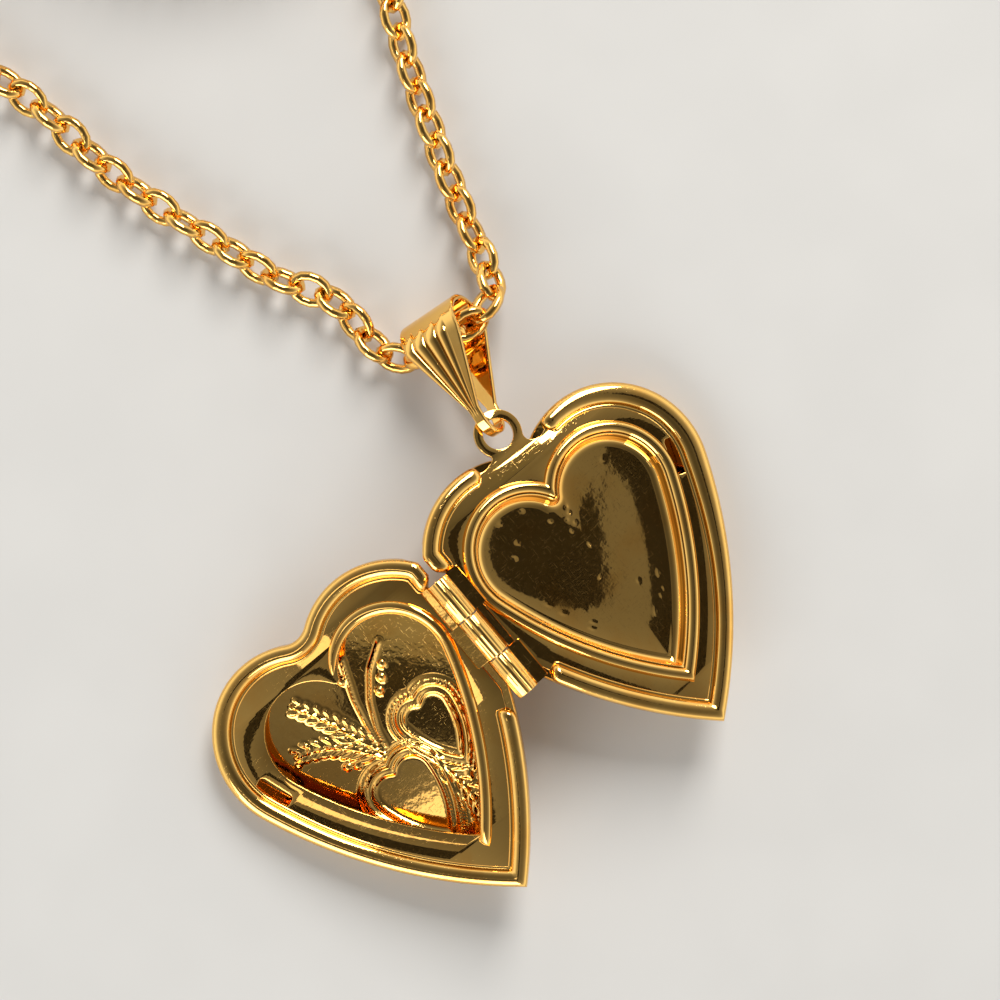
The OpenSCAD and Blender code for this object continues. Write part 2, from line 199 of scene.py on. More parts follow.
class LocketSizes(bpy.types.PropertyGroup):
    """Sizes of the two leaves, the hinge and the bail"""
    lobe_r: length("Lobe radius", "Radius of the two round lobes", 5.55)
    lobe_x: length("Lobe offset", "Half the distance between the lobe centres", 3.7)
    lobe_y: length("Lobe height", "Height of the lobe centres above the centre line", 5.1)
    tip_drop: length("Tip drop", "Distance of the tip below the centre line", 9.6)
    side_r: length("Side radius", "Radius of the two long sides", 30)
    notch_r: length("Notch fillet", "Fillet between the lobes", 1.6)
    inner_lobe_r: length("Inner lobe radius", "Radius of the inner heart's lobes", 3.2)
    inner_lobe_x: length("Inner lobe offset", "Half the distance between its centres", 3.0)
    inner_lobe_y: length("Inner lobe height", "Height of the inner lobe centres", 4.7)
    inner_tip_drop: length("Inner tip drop", "Distance of the inner tip below the line", 5.6)
    hinge_x: length("Hinge distance", "From the hinge pin to the outline's middle", 8.2)
    slant: bpy.props.FloatProperty(
        name="Slant", description="Slant of the outline against the pin",
        default=math.radians(3), unit="ROTATION", subtype="ANGLE")
    lean: bpy.props.FloatProperty(
        name="Lean", description="How far each open leaf leans down from level",
        default=math.radians(15), unit="ROTATION", subtype="ANGLE")
    leaf_depth: length("Leaf depth", "From the parting plane to the dome's bottom", 2.6)
    dome_r: length("Dome radius", "Radius of the domed sheet", 60)
    sheet_t: length("Sheet", "Thickness of the domed sheet", 0.3)
    plate_top: length("Plate depth", "Depth of the inner plate's face", 0.45)
    plate_t: length("Plate", "Thickness of the inner plate", 0.3)
    recess_floor: length("Recess depth", "Depth of the picture recess's floor", 1.35)
    lip_h: length("Lip height", "Height of the lip above the margin", 0.3)
    catch_len: length("Catch slot", "Length of the catch's slot", 2.2)
    catch_w: length("Catch width", "Width of the catch's slot", 0.8)
    catch_inset: length("Catch inset", "From the outline to the slot's middle", 1.75)
    wall_x: length("Hinge side", "Distance of a leaf's straight side from the pin", 0.82)
    rim_x: length("Rim reach", "Distance of the rims from the pin past the knuckles", 0.2924)
    knuckle_r: length("Knuckle radius", "Outer radius of the knuckles", 0.68)
    knuckle_len: length("Knuckle length", "Length of each knuckle", 2.6)
    knuckle_gap: length("Knuckle gap", "End gap between knuckles", 0.1)
    knuckle_mid: length("Knuckle place", "Middle knuckle above the centre line", 3.1)
    pin_r: length("Pin radius", "Radius of the hinge pin", 0.3)
    ear_hole_r: length("Ear hole", "Radius of the hole in the ear", 0.9)
    ear_r: length("Ear radius", "Radius of the ear's round end", 1.42)
    ear_y: length("Ear height", "Height of the ear's hole", 11.2)
    ear_offset: length("Ear offset", "Offset of the ear towards the hinge", 0.4)
    ear_base: length("Ear base", "Width of the ear where it leaves the rim", 3.7)
    bail_t: length("Bail strip", "Thickness of the bail's strip", 0.34)
    bail_top_w: length("Bail top", "Width of the bail at its top", 3.9)
    bail_hook_w: length("Bail hook", "Width of the bail at its hook", 0.7)
    bail_top_r: length("Bail loop", "Inner radius of the bail's loop", 1.5)
    bail_hook_r: length("Bail hook radius", "Inner radius of the bail's hook", 0.86)


class ChainSizes(bpy.types.PropertyGroup):
    """Sizes of the chain and its clasp"""
    link_len: length("Link length", "Outer length of a link", 2.8)
    link_w: length("Link width", "Outer width of a link", 2.2)
    wire: length("Wire", "Thickness of the link's wire", 0.58)
    clasp_r: length("Clasp radius", "Radius of the clasp at the middle of its tube", 2.6)
    clasp_tube_r: length("Clasp tube", "Radius of the clasp's tube", 0.72)
    gate_r: length("Gate radius", "Radius of the clasp's sliding gate", 0.4)
    ring_r: length("Jump ring", "Radius of the jump rings", 1.1)
    ring_wire: length("Jump ring wire", "Wire radius of the jump rings", 0.3)
    end_hole_r: length("End ring hole", "Hole radius of the end ring", 1.5)
    end_band: length("End ring band", "Width of the end ring's band", 0.8)


class LocketColours(bpy.types.PropertyGroup):
    """Colours of the plated metal and the stage"""
    gold: colour("Gold", "Polished gold plate", (0.95, 0.565, 0.15))
    deep: colour("Deep gold", "Gold in hollows, where it mirrors itself", (0.90, 0.45, 0.09))
    pale: colour("Pale gold", "Worn edges and wire", (1.0, 0.74, 0.34))
    steel: colour("Spring steel", "Wire of the clasp's spring", (0.60, 0.59, 0.57))
    floor: colour("Floor", "Plain pale floor", (0.64, 0.625, 0.60))


def in_mm(group):
    return type("Sizes", (), {
        name: getattr(group, name) / (1 if name in ("slant", "lean") else MM)
        for name in group.__annotations__})


# ---------------------------------------------------------------- outlines


class Heart:
    """A heart of arcs; a ring of it keeps its number of points at any offset."""

    def __init__(self, lobe_r, lobe_x, lobe_y, tip_drop, side_r, notch_r, steps=(60, 52, 8)):
        self.lobe_r, self.side_r, self.notch_r = lobe_r, side_r, notch_r
        self.lobe = np.array([lobe_x, lobe_y])
        self.steps = steps
        self.half_count = sum(steps)
        tip = np.array([0.0, -tip_drop])
        gap = np.linalg.norm(tip - self.lobe)
        along = (tip - self.lobe) / gap
        near = side_r - lobe_r
        part = (near * near - side_r * side_r + gap * gap) / (2 * gap)
        self.side = (self.lobe + part * along
                     + math.sqrt(near * near - part * part) * np.array([along[1], -along[0]]))
        self.notch_y = lobe_y + math.sqrt((lobe_r + notch_r) ** 2 - lobe_x ** 2)

    def half(self, grow):
        long_side, round_lobe, _ = self.steps
        grow = np.broadcast_to(np.asarray(grow, float), (self.half_count + 1,))
        ends = long_side, long_side + round_lobe
        side, lobe, notch = grow[:ends[0] + 1], grow[ends[0]:ends[1] + 1], grow[ends[1]:]
        arc = lambda centre, r, t: centre + np.c_[r * np.cos(t), r * np.sin(t)]
        radius = self.side_r + side
        low = -np.arccos(np.clip(-self.side[0] / radius, -1, 1))
        hand = math.atan2(*(self.lobe - self.side)[::-1])
        first = arc(self.side, radius, low + (hand - low) * np.linspace(0, 1, len(side)))
        radius = self.lobe_r + lobe
        sharp = self.notch_r - lobe < 0.02
        top = np.where(sharp, np.arccos(np.clip(-self.lobe[0] / radius, -1, 1)),
                       math.atan2(self.notch_y - self.lobe[1], -self.lobe[0]))
        second = arc(self.lobe, radius, hand + (top - hand) * np.linspace(0, 1, len(lobe)))
        turn = math.atan2(self.lobe[1] - self.notch_y, self.lobe[0])
        third = arc(np.array([0.0, self.notch_y]), self.notch_r - notch,
                    turn + (-math.pi / 2 - turn) * np.linspace(0, 1, len(notch)))
        cusp = self.lobe[1] + np.sqrt((self.lobe_r + notch) ** 2 - self.lobe[0] ** 2)
        third = np.where((self.notch_r - notch < 0.02)[:, None],
                         np.c_[np.zeros(len(notch)), cusp], third)
        return np.vstack([first, second[1:], third[1:]])

    def ring(self, grow=0.0):
        count = self.half_count
        grow = np.broadcast_to(np.asarray(grow, float), (2 * count,))
        right = self.half(grow[:count + 1])
        left = self.half(grow[(2 * count - np.arange(count + 1)) % (2 * count)])
        return np.vstack([right, (left * [-1, 1])[count - 1:0:-1]])


def outer_heart(s, **kind):
    return Heart(s.lobe_r, s.lobe_x, s.lobe_y, s.tip_drop, s.side_r, s.notch_r, **kind)


def inner_heart(s, **kind):
    return Heart(s.inner_lobe_r, s.inner_lobe_x, s.inner_lobe_y, s.inner_tip_drop,
                 s.side_r - 6, 0.3, **kind)


class Leaf:
    """Takes points of one leaf's outline, in millimetres, to where the open leaf stands."""

    def __init__(self, s, side):
        self.s, self.side = s, side
        low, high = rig.box("hinge_pin")
        self.mid_y = s.knuckle_mid - (low.y + high.y) / 2 / MM
        self.stand = JOINTS["cover_hinge"]["pos_m"][2] / MM

    def flat(self, points):
        """Outline points to the leaf's hinge frame."""
        c, s = math.cos(self.s.slant), math.sin(self.s.slant)
        p = np.asarray(points, float)
        return np.stack([self.s.hinge_x + p[..., 0] * c + p[..., 1] * s,
                         p[..., 1] * c - p[..., 0] * s], -1)

    def at(self, points, z, wall=None):
        """Outline points and heights as points of the hinge frame, behind a straight wall."""
        p = self.flat(points)
        if wall is not None:
            p[..., 0] = np.maximum(p[..., 0], wall)
        return np.concatenate([p, np.broadcast_to(np.asarray(z, float), p.shape[:-1])[..., None]],
                              -1)

    def place(self, p):
        c, s = math.cos(self.s.lean), math.sin(self.s.lean)
        p = np.asarray(p, float)
        return np.stack([self.side * (p[..., 0] * c + p[..., 2] * s), p[..., 1] - self.mid_y,
                         self.stand - p[..., 0] * s + p[..., 2] * c], -1)


# ---------------------------------------------------------------- modelling


def name_piece(name):
    piece = bpy.context.object
    piece.name = piece.data.name = name
    return piece


def edit(*steps):
    bpy.ops.object.mode_set(mode="EDIT")
    bpy.ops.mesh.select_all(action="SELECT")
    for step in steps:
        step()
    bpy.ops.object.mode_set(mode="OBJECT")


def close_up(piece, smooth=40):
    """Merges what meets, turns the faces outwards and smooths up to an angle."""
    edit(lambda: bpy.ops.mesh.remove_doubles(threshold=2e-6),
         lambda: bpy.ops.mesh.normals_make_consistent(inside=False))
    bpy.ops.object.shade_smooth_by_angle(angle=math.radians(smooth))
    return piece


def bent_grid(name, rows, smooth=40):
    """A grid whose rows are laid through rows of points, in millimetres."""
    rows = np.asarray(rows, float)
    down, across = rows.shape[0] - 1, rows.shape[1] - 1
    bpy.ops.object.select_all(action="DESELECT")
    bpy.ops.mesh.primitive_grid_add(x_subdivisions=across, y_subdivisions=down, size=1)
    piece = name_piece(name)
    co = np.empty(len(piece.data.vertices) * 3)
    piece.data.vertices.foreach_get("co", co)
    co = co.reshape(-1, 3)
    column = np.rint((co[:, 0] + 0.5) * across).astype(int)
    row = np.rint((co[:, 1] + 0.5) * down).astype(int)
    piece.data.vertices.foreach_set("co", (rows[row, column] * MM).ravel())
    piece.data.update()
    return close_up(piece, smooth)


def looped(rows):
    """Closes each ring of points on itself."""
    return [np.vstack([row, row[:1]]) for row in rows]


def tube_rows(path, radius, sides=12, up=(0, 0, 1), ends="round"):
    """Rings round a path, with rounded or flat closed ends."""
    path = np.asarray(path, float)
    ahead = np.gradient(path, axis=0)
    ahead /= np.linalg.norm(ahead, axis=1)[:, None]
    side = np.cross(ahead, np.asarray(up, float))
    side /= np.linalg.norm(side, axis=1)[:, None]
    rise = np.cross(side, ahead)
    turn = np.linspace(0, 2 * math.pi, sides + 1)
    ring = lambda i, r, shift=0.0: (path[i] + shift * ahead[i]
                                    + r * (np.cos(turn)[:, None] * side[i]
                                           + np.sin(turn)[:, None] * rise[i]))
    radius = np.broadcast_to(radius, (len(path),))
    caps = [0.0, 0.35, 0.7, 0.92, 1.0] if ends == "round" else [0.0, 0.85, 1.0]
    reach = [radius[i] if ends == "round" else 0.06 for i in (0, -1)]
    first = [ring(0, radius[0] * q, -reach[0] * math.sqrt(1 - q * q)) for q in caps]
    last = [ring(-1, radius[-1] * q, reach[1] * math.sqrt(1 - q * q)) for q in caps[::-1]]
    return first + [ring(i, radius[i]) for i in range(len(path))] + last


def curve_plate(name, outlines, z_low, z_high, bevel, place, smooth=30):
    """A flat plate cut from closed outlines, with eased edges, put in its place."""
    half = (z_high - z_low) / 2
    curve = bpy.data.curves.new(name, "CURVE")
    curve.dimensions, curve.fill_mode = "2D", "BOTH"
    curve.extrude, curve.bevel_depth, curve.offset = (half - bevel) * MM, bevel * MM, -bevel * MM
    curve.bevel_resolution = 2
    for outline in outlines:
        spline = curve.splines.new("POLY")
        spline.points.add(len(outline) - 1)
        for point, (x, y) in zip(spline.points, outline):
            point.co = (x * MM, y * MM, 0, 1)
        spline.use_cyclic_u = True
    bpy.ops.object.select_all(action="DESELECT")
    piece = bpy.data.objects.new(name, curve)
    bpy.context.collection.objects.link(piece)
    bpy.context.view_layer.objects.active = piece
    piece.select_set(True)
    bpy.ops.object.convert(target="MESH")
    piece = name_piece(name)
    co = np.array([v.co for v in piece.data.vertices]) / MM
    co[:, 2] += (z_low + z_high) / 2
    piece.data.vertices.foreach_set("co", (place(co) * MM).ravel())
    piece.data.update()
    return close_up(piece, smooth)


def circle(centre, radius, steps=40, start=0.0, stop=2 * math.pi, closed=True):
    t = np.linspace(start, stop, steps, endpoint=not closed)
    return np.c_[centre[0] + radius * np.cos(t), centre[1] + radius * np.sin(t)]


def smooth_path(points, step=0.4, passes=6):
    """Evenly spaced points on a soft curve through the given ones, in millimetres."""
    line = np.asarray(points, float)
    for count in range(2):
        gone = np.r_[0, np.cumsum(np.linalg.norm(np.diff(line, axis=0), axis=1))]
        even = np.linspace(0, gone[-1], max(2, int(gone[-1] / step)) + 1)
        line = np.c_[[np.interp(even, gone, line[:, k]) for k in range(3)]].T
        if not count:
            for _ in range(passes):
                line[1:-1] = (line[:-2] + 2 * line[1:-1] + line[2:]) / 4
    return line


def finish_piece(piece, body, slot, material, *nodes):
    """Gives a piece its finish, its body and the CAD solids that it stands for."""
    piece.data.materials.clear()
    piece.data.materials.append(material)
    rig.ride(piece, body)
    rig.slot(piece, slot)
    if nodes:
        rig.replaces(piece, *nodes)
    return piece


# ---------------------------------------------------------------- finishes


class Wire:
    """A node's output that can be used in sums; numbers join in on either side."""

    def __init__(self, shader, socket):
        self.shader, self.socket = shader, socket

    def maths(self, operation, *values):
        return self.shader.node("ShaderNodeMath", {"operation": operation}, *values)

    def __add__(self, other):
        return self.maths("ADD", self, other)

    def __sub__(self, other):
        return self.maths("SUBTRACT", self, other)

    def __rsub__(self, other):
        return self.maths("SUBTRACT", other, self)

    def __mul__(self, other):
        return self.maths("MULTIPLY", self, other)

    def __pow__(self, other):
        return self.maths("POWER", self, other)

    __radd__, __rmul__ = __add__, __mul__

    def between(self, low, high):
        """Clamped and eased from 0 at low to 1 at high."""
        return self.shader.node("ShaderNodeMapRange", {"interpolation_type": "SMOOTHSTEP"},
                                self, low, high, 0.0, 1.0)


class Shader:
    """Builds a material's nodes."""

    def __init__(self, name):
        self.material = bpy.data.materials.new(name)
        self.material.use_nodes = True
        self.tree = self.material.node_tree
        self.surface = self.tree.nodes["Principled BSDF"]

    def link(self, value, socket):
        if isinstance(value, Wire):
            self.tree.links.new(value.socket, socket)
        elif value is not None:
            socket.default_value = value

    def node(self, kind, settings=None, *values, output=0, **named):
        made = self.tree.nodes.new(kind)
        for key, value in (settings or {}).items():
            setattr(made, key, value)
        for socket, value in zip(made.inputs, values):
            self.link(value, socket)
        for key, value in named.items():
            self.link(value, made.inputs[key.replace("_", " ")])
        return Wire(self, made.outputs[output])

    def place(self, scale=(1, 1, 1), turn=(0, 0, 0)):
        where = self.node("ShaderNodeTexCoord", output="Object")
        return self.node("ShaderNodeMapping", None, Vector=where, Scale=scale, Rotation=turn)

    def noise(self, grain, scale=(1, 1, 1), turn=(0, 0, 0), detail=3.0):
        """Noise whose grain is given in millimetres."""
        return self.node("ShaderNodeTexNoise", None, Vector=self.place(scale, turn),
                         Scale=1 / (grain * MM), Detail=detail)

    def mix(self, factor, a, b):
        made = self.tree.nodes.new("ShaderNodeMix")
        made.data_type = "RGBA"
        for index, value in ((0, factor), (6, a), (7, b)):
            self.link(value, made.inputs[index])
        return Wire(self, made.outputs[2])

    def bump(self, height, depth, strength=1.0, below=None):
        made = self.node("ShaderNodeBump", None, Strength=strength, Distance=depth * MM,
                         Height=height)
        self.link(below, made.socket.node.inputs["Normal"])
        return made

    def give(self, **sockets):
        for key, value in sockets.items():
            self.link(value, self.surface.inputs[key.replace("_", " ")])
        return self.material


def plated(name, main, worn, deep, gloss=0.07, peel=0.0, scratches=0.5):
    """Gold plate: a little uneven in colour, with fine scratches and a trace of orange peel."""
    shader = Shader(name)
    clouds = shader.noise(2.6, detail=4.0)
    fine = shader.noise(0.35, detail=4.0)
    scratch_a = shader.noise(0.9, scale=(1, 26, 7), turn=(0.3, 0.2, 0.6), detail=2.0)
    scratch_b = shader.noise(0.8, scale=(22, 1, 9), turn=(0.1, 0.4, -0.5), detail=2.0)
    lines = scratch_a.between(0.66, 0.72) + scratch_b.between(0.68, 0.73)
    tint = shader.mix(clouds.between(0.42, 0.68) * 0.55, (*main, 1), (*deep, 1))
    tint = shader.mix(lines * (0.35 * scratches), tint, (*worn, 1))
    rough = fine.between(0.4, 0.75) * 0.02 + clouds.between(0.5, 0.75) * 0.03 + gloss
    rough = rough + lines * (0.10 * scratches)
    ripples = shader.bump(shader.noise(0.5, detail=2.0), 0.02 * peel, 0.6)
    normal = shader.bump(lines, 0.002, 0.5 * scratches, below=ripples)
    return shader.give(Base_Color=tint, Metallic=1.0, Roughness=rough, Normal=normal)


FINISHES = {}


def finish(name):
    """The finish of that name, made on first use."""
    if not FINISHES:
        c = bpy.context.scene.locket_colours
        gold, deep, pale, steel = (tuple(x) for x in (c.gold, c.deep, c.pale, c.steel))
        FINISHES.update(
            shell=plated("polished_gold", gold, pale, deep, 0.035, peel=0.35),
            embossed=plated("embossed_gold", gold, pale, deep, 0.06, peel=0.5, scratches=0.6),
            inner=plated("inner_gold", gold, pale, deep, 0.02, peel=0.08, scratches=0.25),
            bail=plated("bail_gold", gold, pale, deep, 0.035, peel=0.2, scratches=0.3),
            chain=plated("chain_gold", gold, pale, deep, 0.06, peel=0.2, scratches=0.7),
            clasp=plated("clasp_gold", gold, pale, deep, 0.08, peel=0.2),
            pin=plated("pin_gold", pale, pale, deep, 0.14, peel=0.1, scratches=1.0),
            steel=plated("spring_steel", steel, steel, steel, 0.2, peel=0.1, scratches=1.0))
    return FINISHES[name]


# ---------------------------------------------------------------- leaf pieces


def bead(name, leaf, heart, ids, profile, middle, wall=None, width=1.0, taper=(0.55, 0.55),
         tall=None):
    """A folded or raised bead along part of an outline, closed by rounded ends.

    profile holds the (offset, height) of its section and middle the point it shrinks to.
    """
    count = 2 * heart.half_count
    ids = np.asarray(ids) % count
    width = np.broadcast_to(width, (count,))
    def row(offset, z):
        return leaf.at(heart.ring(offset * width)[ids], z, None if wall is None
                       else wall - offset * width[ids])
    core = row(*middle)
    gone = np.r_[0, np.cumsum(np.linalg.norm(np.diff(core, axis=0), axis=1))]
    q = np.clip(np.minimum(gone / taper[0], (gone[-1] - gone) / taper[1]), 0, 1)
    swell = np.sqrt(1 - (1 - q) ** 2)[:, None]
    rows = [core + swell * (row(offset, z) - core) for offset, z in profile]
    if tall is not None:
        for line in rows:
            line[:, 2] = middle[1] + (line[:, 2] - middle[1]) * tall[ids]
    return bent_grid(name, leaf.place(np.array(rows + rows[:1])), smooth=60)


def rim_profile():
    """Half-round rolled edge, a crimp line and the turned-in lip."""
    t = np.linspace(0, math.pi, 15)
    round_top = [(-0.5 + 0.5 * math.cos(a), -0.5 + 0.45 * math.sin(a) ** 0.85) for a in t]
    return (round_top[:-1] + [(-0.99, -0.43), (-1.03, -0.40), (-1.10, -0.375), (-1.17, -0.40)]
            + [(-1.20, -0.47), (-0.6, -0.52), (-0.10, -0.54), (-0.02, -0.52)])


def rim_bead(name, leaf, ids, width):
    s = leaf.s
    return bead(name, leaf, outer_heart(s), ids, rim_profile(), (-0.5, -0.47), wall=s.rim_x,
                width=width)


def rim_spans(leaf):
    """Where the bead runs: its numbers beside the ear and beside the knuckles."""
    s, heart = leaf.s, outer_heart(leaf.s)
    ring = heart.ring()
    flat = leaf.flat(ring)
    count = 2 * heart.half_count
    half = s.knuckle_len * 1.5 + s.knuckle_gap * 2
    left = np.arange(heart.half_count + 1, count)
    above = [i for i in left if flat[i, 1] > s.knuckle_mid + half and flat[i, 0] < s.hinge_x]
    below = [i for i in left if flat[i, 1] < s.knuckle_mid - half]
    top = np.arange(heart.half_count // 2, count - heart.half_count // 2)
    beside = s.ear_base / 2 + 0.12
    right = [i for i in top if i < heart.half_count and ring[i, 0] > beside - s.ear_offset
             and ring[i, 1] > s.lobe_y]
    left_ear = [i for i in top if i > heart.half_count
                and ring[i, 0] < -beside - s.ear_offset and ring[i, 1] > s.lobe_y]
    return max(above), min(below), max(right), min(left_ear)


def far_swell(heart, amount):
    """Wider towards the lobe on the far side from the hinge."""
    ring = heart.ring()
    return 1 + amount * np.clip((ring[:, 0] - 1) / 7, 0, 1) * np.clip((ring[:, 1] + 6) / 9, 0, 1)


def dome_rows(leaf, heart, rings, relief=None):
    """Outer and inner skin of the domed sheet, from pole to pole."""
    s = leaf.s
    star = np.array([0.0, 1.0])

    def sphere(p):
        return (s.dome_r - s.leaf_depth
                - np.sqrt(s.dome_r ** 2 - (p[..., 0] - s.hinge_x) ** 2 - p[..., 1] ** 2))

    def skin(lift, inset, shoulder, top):
        """Rings from the pole to the shoulder's foot."""
        out = []
        base = heart.ring(-inset - shoulder)
        for k in np.linspace(0, 1, rings + 1):
            p = leaf.at(star + k * (base - star), 0.0, s.wall_x + inset + shoulder * k)
            if k == 0:
                p[:] = p.mean(0)
            p[:, 2] = sphere(p) + lift
            if relief is not None:
                p[:, 2] += relief(star + k * (base - star))
            out.append(p)
        for e in np.linspace(1, 0, 9)[1:]:
            q = heart.ring(-inset - shoulder * e)
            p = leaf.at(q, 0.0, s.wall_x + inset + shoulder * e)
            z = sphere(p) + lift
            tall = np.minimum(shoulder, top - z - 0.02)
            p[:, 2] = z + tall * (1 - math.sqrt(1 - (1 - e) ** 2))
            out.append(p)
        return out

    outer = skin(0.0, 0.12, 0.95, -0.93)
    inner = skin(s.sheet_t, 0.5, 0.6, -0.8)
    # The wall stands back beside the knuckles, which the other leaf's swing passes.
    past = np.abs(leaf.flat(heart.ring())[:, 1] - s.knuckle_mid) - (
        s.knuckle_len * 1.5 + s.knuckle_gap)
    clear = s.wall_x + (s.rim_x - s.wall_x) * np.clip((past - 0.15) / 0.4, 0, 1)
    wall = [leaf.at(heart.ring(d), z, s.wall_x - d if z < -0.8 else clear - d)
            for d, z in ((-0.07, -0.94), (-0.03, -0.88), (-0.03, -0.6), (-0.1, -0.5),
                         (-0.48, -0.5), (-0.5, -0.55))]
    return outer + wall + inner[::-1]


def margin_outline(leaf, ear):
    """The inner plate's edge in the hinge frame, with or without the ear."""
    s, heart = leaf.s, outer_heart(leaf.s)
    ring = heart.ring(-0.5)
    if ear:
        count = heart.half_count
        base = s.ear_base / 2 + 0.05
        right = [p for p in ring[:count] if p[1] < s.lobe_y or p[0] > base - s.ear_offset]
        left = [p for p in ring[count:] if p[1] < s.lobe_y or p[0] < -base - s.ear_offset]
        lug = circle((-s.ear_offset, s.ear_y), s.ear_r, 46, math.radians(-32),
                     math.radians(212), closed=False)
        def flank(a, b, pull):
            t = np.linspace(0, 1, 14)[1:-1, None]
            return (1 - t) ** 2 * a + 2 * t * (1 - t) * pull + t ** 2 * b
        a, b = np.array(right[-1]), lug[0]
        c, d = lug[-1], np.array(left[0])
        ring = np.vstack([right, flank(a, b, np.array([b[0] - 0.25, a[1] + 0.15])), lug,
                          flank(c, d, np.array([c[0] + 0.25, d[1] + 0.15])), left])
    p = leaf.flat(ring)
    p[:, 0] = np.maximum(p[:, 0], s.wall_x + 0.5)
    keep = np.r_[True, np.linalg.norm(np.diff(p, axis=0), axis=1) > 0.01]
    return p[keep]


def catch_slot(leaf):
    """Rounded slot of the catch, near the far lobe."""
    s = leaf.s
    turn = math.radians(-16)
    half_l, half_w, corner = s.catch_len / 2, s.catch_w / 2, 0.25
    out = []
    for cx, cy, start in ((1, 1, 0), (-1, 1, 90), (-1, -1, 180), (1, -1, 270)):
        out.append(circle((cx * (half_w - corner), cy * (half_l - corner)), corner, 6,
                          math.radians(start), math.radians(start + 90), closed=False))
    p = np.vstack(out) + [s.lobe_r - s.catch_inset, 0]
    p = p @ np.array([[math.cos(turn), math.sin(turn)], [-math.sin(turn), math.cos(turn)]])
    p = p + [s.lobe_x, s.lobe_y]
    return leaf.flat(p)


def ear_hole(leaf):
    s = leaf.s
    return leaf.flat(circle((-s.ear_offset, s.ear_y), s.ear_hole_r))


class Relief:
    """Height of the pressed pattern on the cover: two hearts, stems, leaves and berries."""

    def __init__(self):
        self.lines, self.berries = [], []
        for at, size, turn in (((-2.05, 0.65), 0.30, 3), ((1.75, -1.75), 0.385, -2)):
            heart = Heart(2.9, 2.2, 3.0, 7.6, 18, 0.5, steps=(30, 26, 4))
            c, s = math.cos(math.radians(turn)), math.sin(math.radians(turn))
            for grow, wide, high in ((0.0, 0.13, 0.15), (1.5, 0.14, 0.20), (2.3, 0.10, 0.13)):
                p = heart.ring(grow * 0.38 / size * 0.9) * size @ np.array([[c, s], [-s, c]])
                self.lines.append((np.vstack([p, p[:1]]) + at, wide, high))
        stems = [
            [(-3.02, 6.36), (-1.35, 5.48), (-0.11, 4.21), (0.79, 2.64), (1.08, 1.61)],
            [(-0.6, 7.0), (0.55, 4.79), (1.13, 2.93), (1.34, 1.55)],
            [(1.39, 1.39), (1.99, 2.9), (2.37, 4.41), (2.97, 5.91), (3.43, 6.9)],
            [(1.6, 1.18), (2.4, 2.47), (3.37, 3.6), (4.53, 4.32), (5.34, 4.6)],
            [(-0.3, -0.66), (-0.75, -1.96), (-0.85, -3.58), (-0.57, -5.0), (0.1, -6.2)],
        ]
        for stem in stems:
            line = smooth_path(np.c_[np.array(stem), np.zeros(len(stem))], 0.12, 8)[:, :2]
            self.lines.append((line, 0.12, 0.19))
            if stem in stems[2:]:
                self.leaves(line)
        for at in ((-1.6, 4.75), (-0.95, 4.25), (3.1, 1.9), (-1.45, -2.75), (-2.2, 5.3),
                   (3.6, 2.2), (0.3, 6.1)):
            self.berries.append((np.array(at), 0.27, 0.2))

    def leaves(self, line):
        """Short blades in pairs along a stem."""
        step = 5
        for i in range(step, len(line) - 1, step):
            ahead = line[i] - line[i - 1]
            ahead /= np.linalg.norm(ahead)
            across = np.array([-ahead[1], ahead[0]])
            size = 0.95 - 0.35 * i / len(line)
            for side in (-1, 1):
                tip = line[i] + size * (0.72 * ahead + side * 0.7 * across)
                bow = line[i] + size * 0.5 * (0.25 * ahead + side * across)
                t = np.linspace(0, 1, 9)[:, None]
                blade = (1 - t) ** 2 * line[i] + 2 * t * (1 - t) * bow + t ** 2 * tip
                self.lines.append((blade, 0.13, 0.15))

    def __call__(self, p):
        """Height towards the inside: proud within the cover and sunk on its outside."""
        high = np.zeros(len(p))
        for line, wide, tall in self.lines:
            near = ((p[:, 0] > line[:, 0].min() - 0.5) & (p[:, 0] < line[:, 0].max() + 0.5)
                    & (p[:, 1] > line[:, 1].min() - 0.5) & (p[:, 1] < line[:, 1].max() + 0.5))
            if not near.any():
                continue
            a, b = line[:-1], line[1:]
            run = b - a
            rel = p[near][:, None] - a[None]
            t = np.clip((rel * run).sum(2) / np.maximum((run ** 2).sum(1), 1e-9), 0, 1)
            gap = np.linalg.norm(rel - t[..., None] * run, axis=2).min(1)
            high[near] = np.maximum(high[near], tall * np.exp(-(gap / wide) ** 2))
        for at, r, tall in self.berries:
            gap = np.linalg.norm(p - at, axis=1)
            high = np.maximum(high, tall * np.sqrt(np.clip(1 - (gap / r) ** 2, 0, 1)))
        return high


# ---------------------------------------------------------------- operators


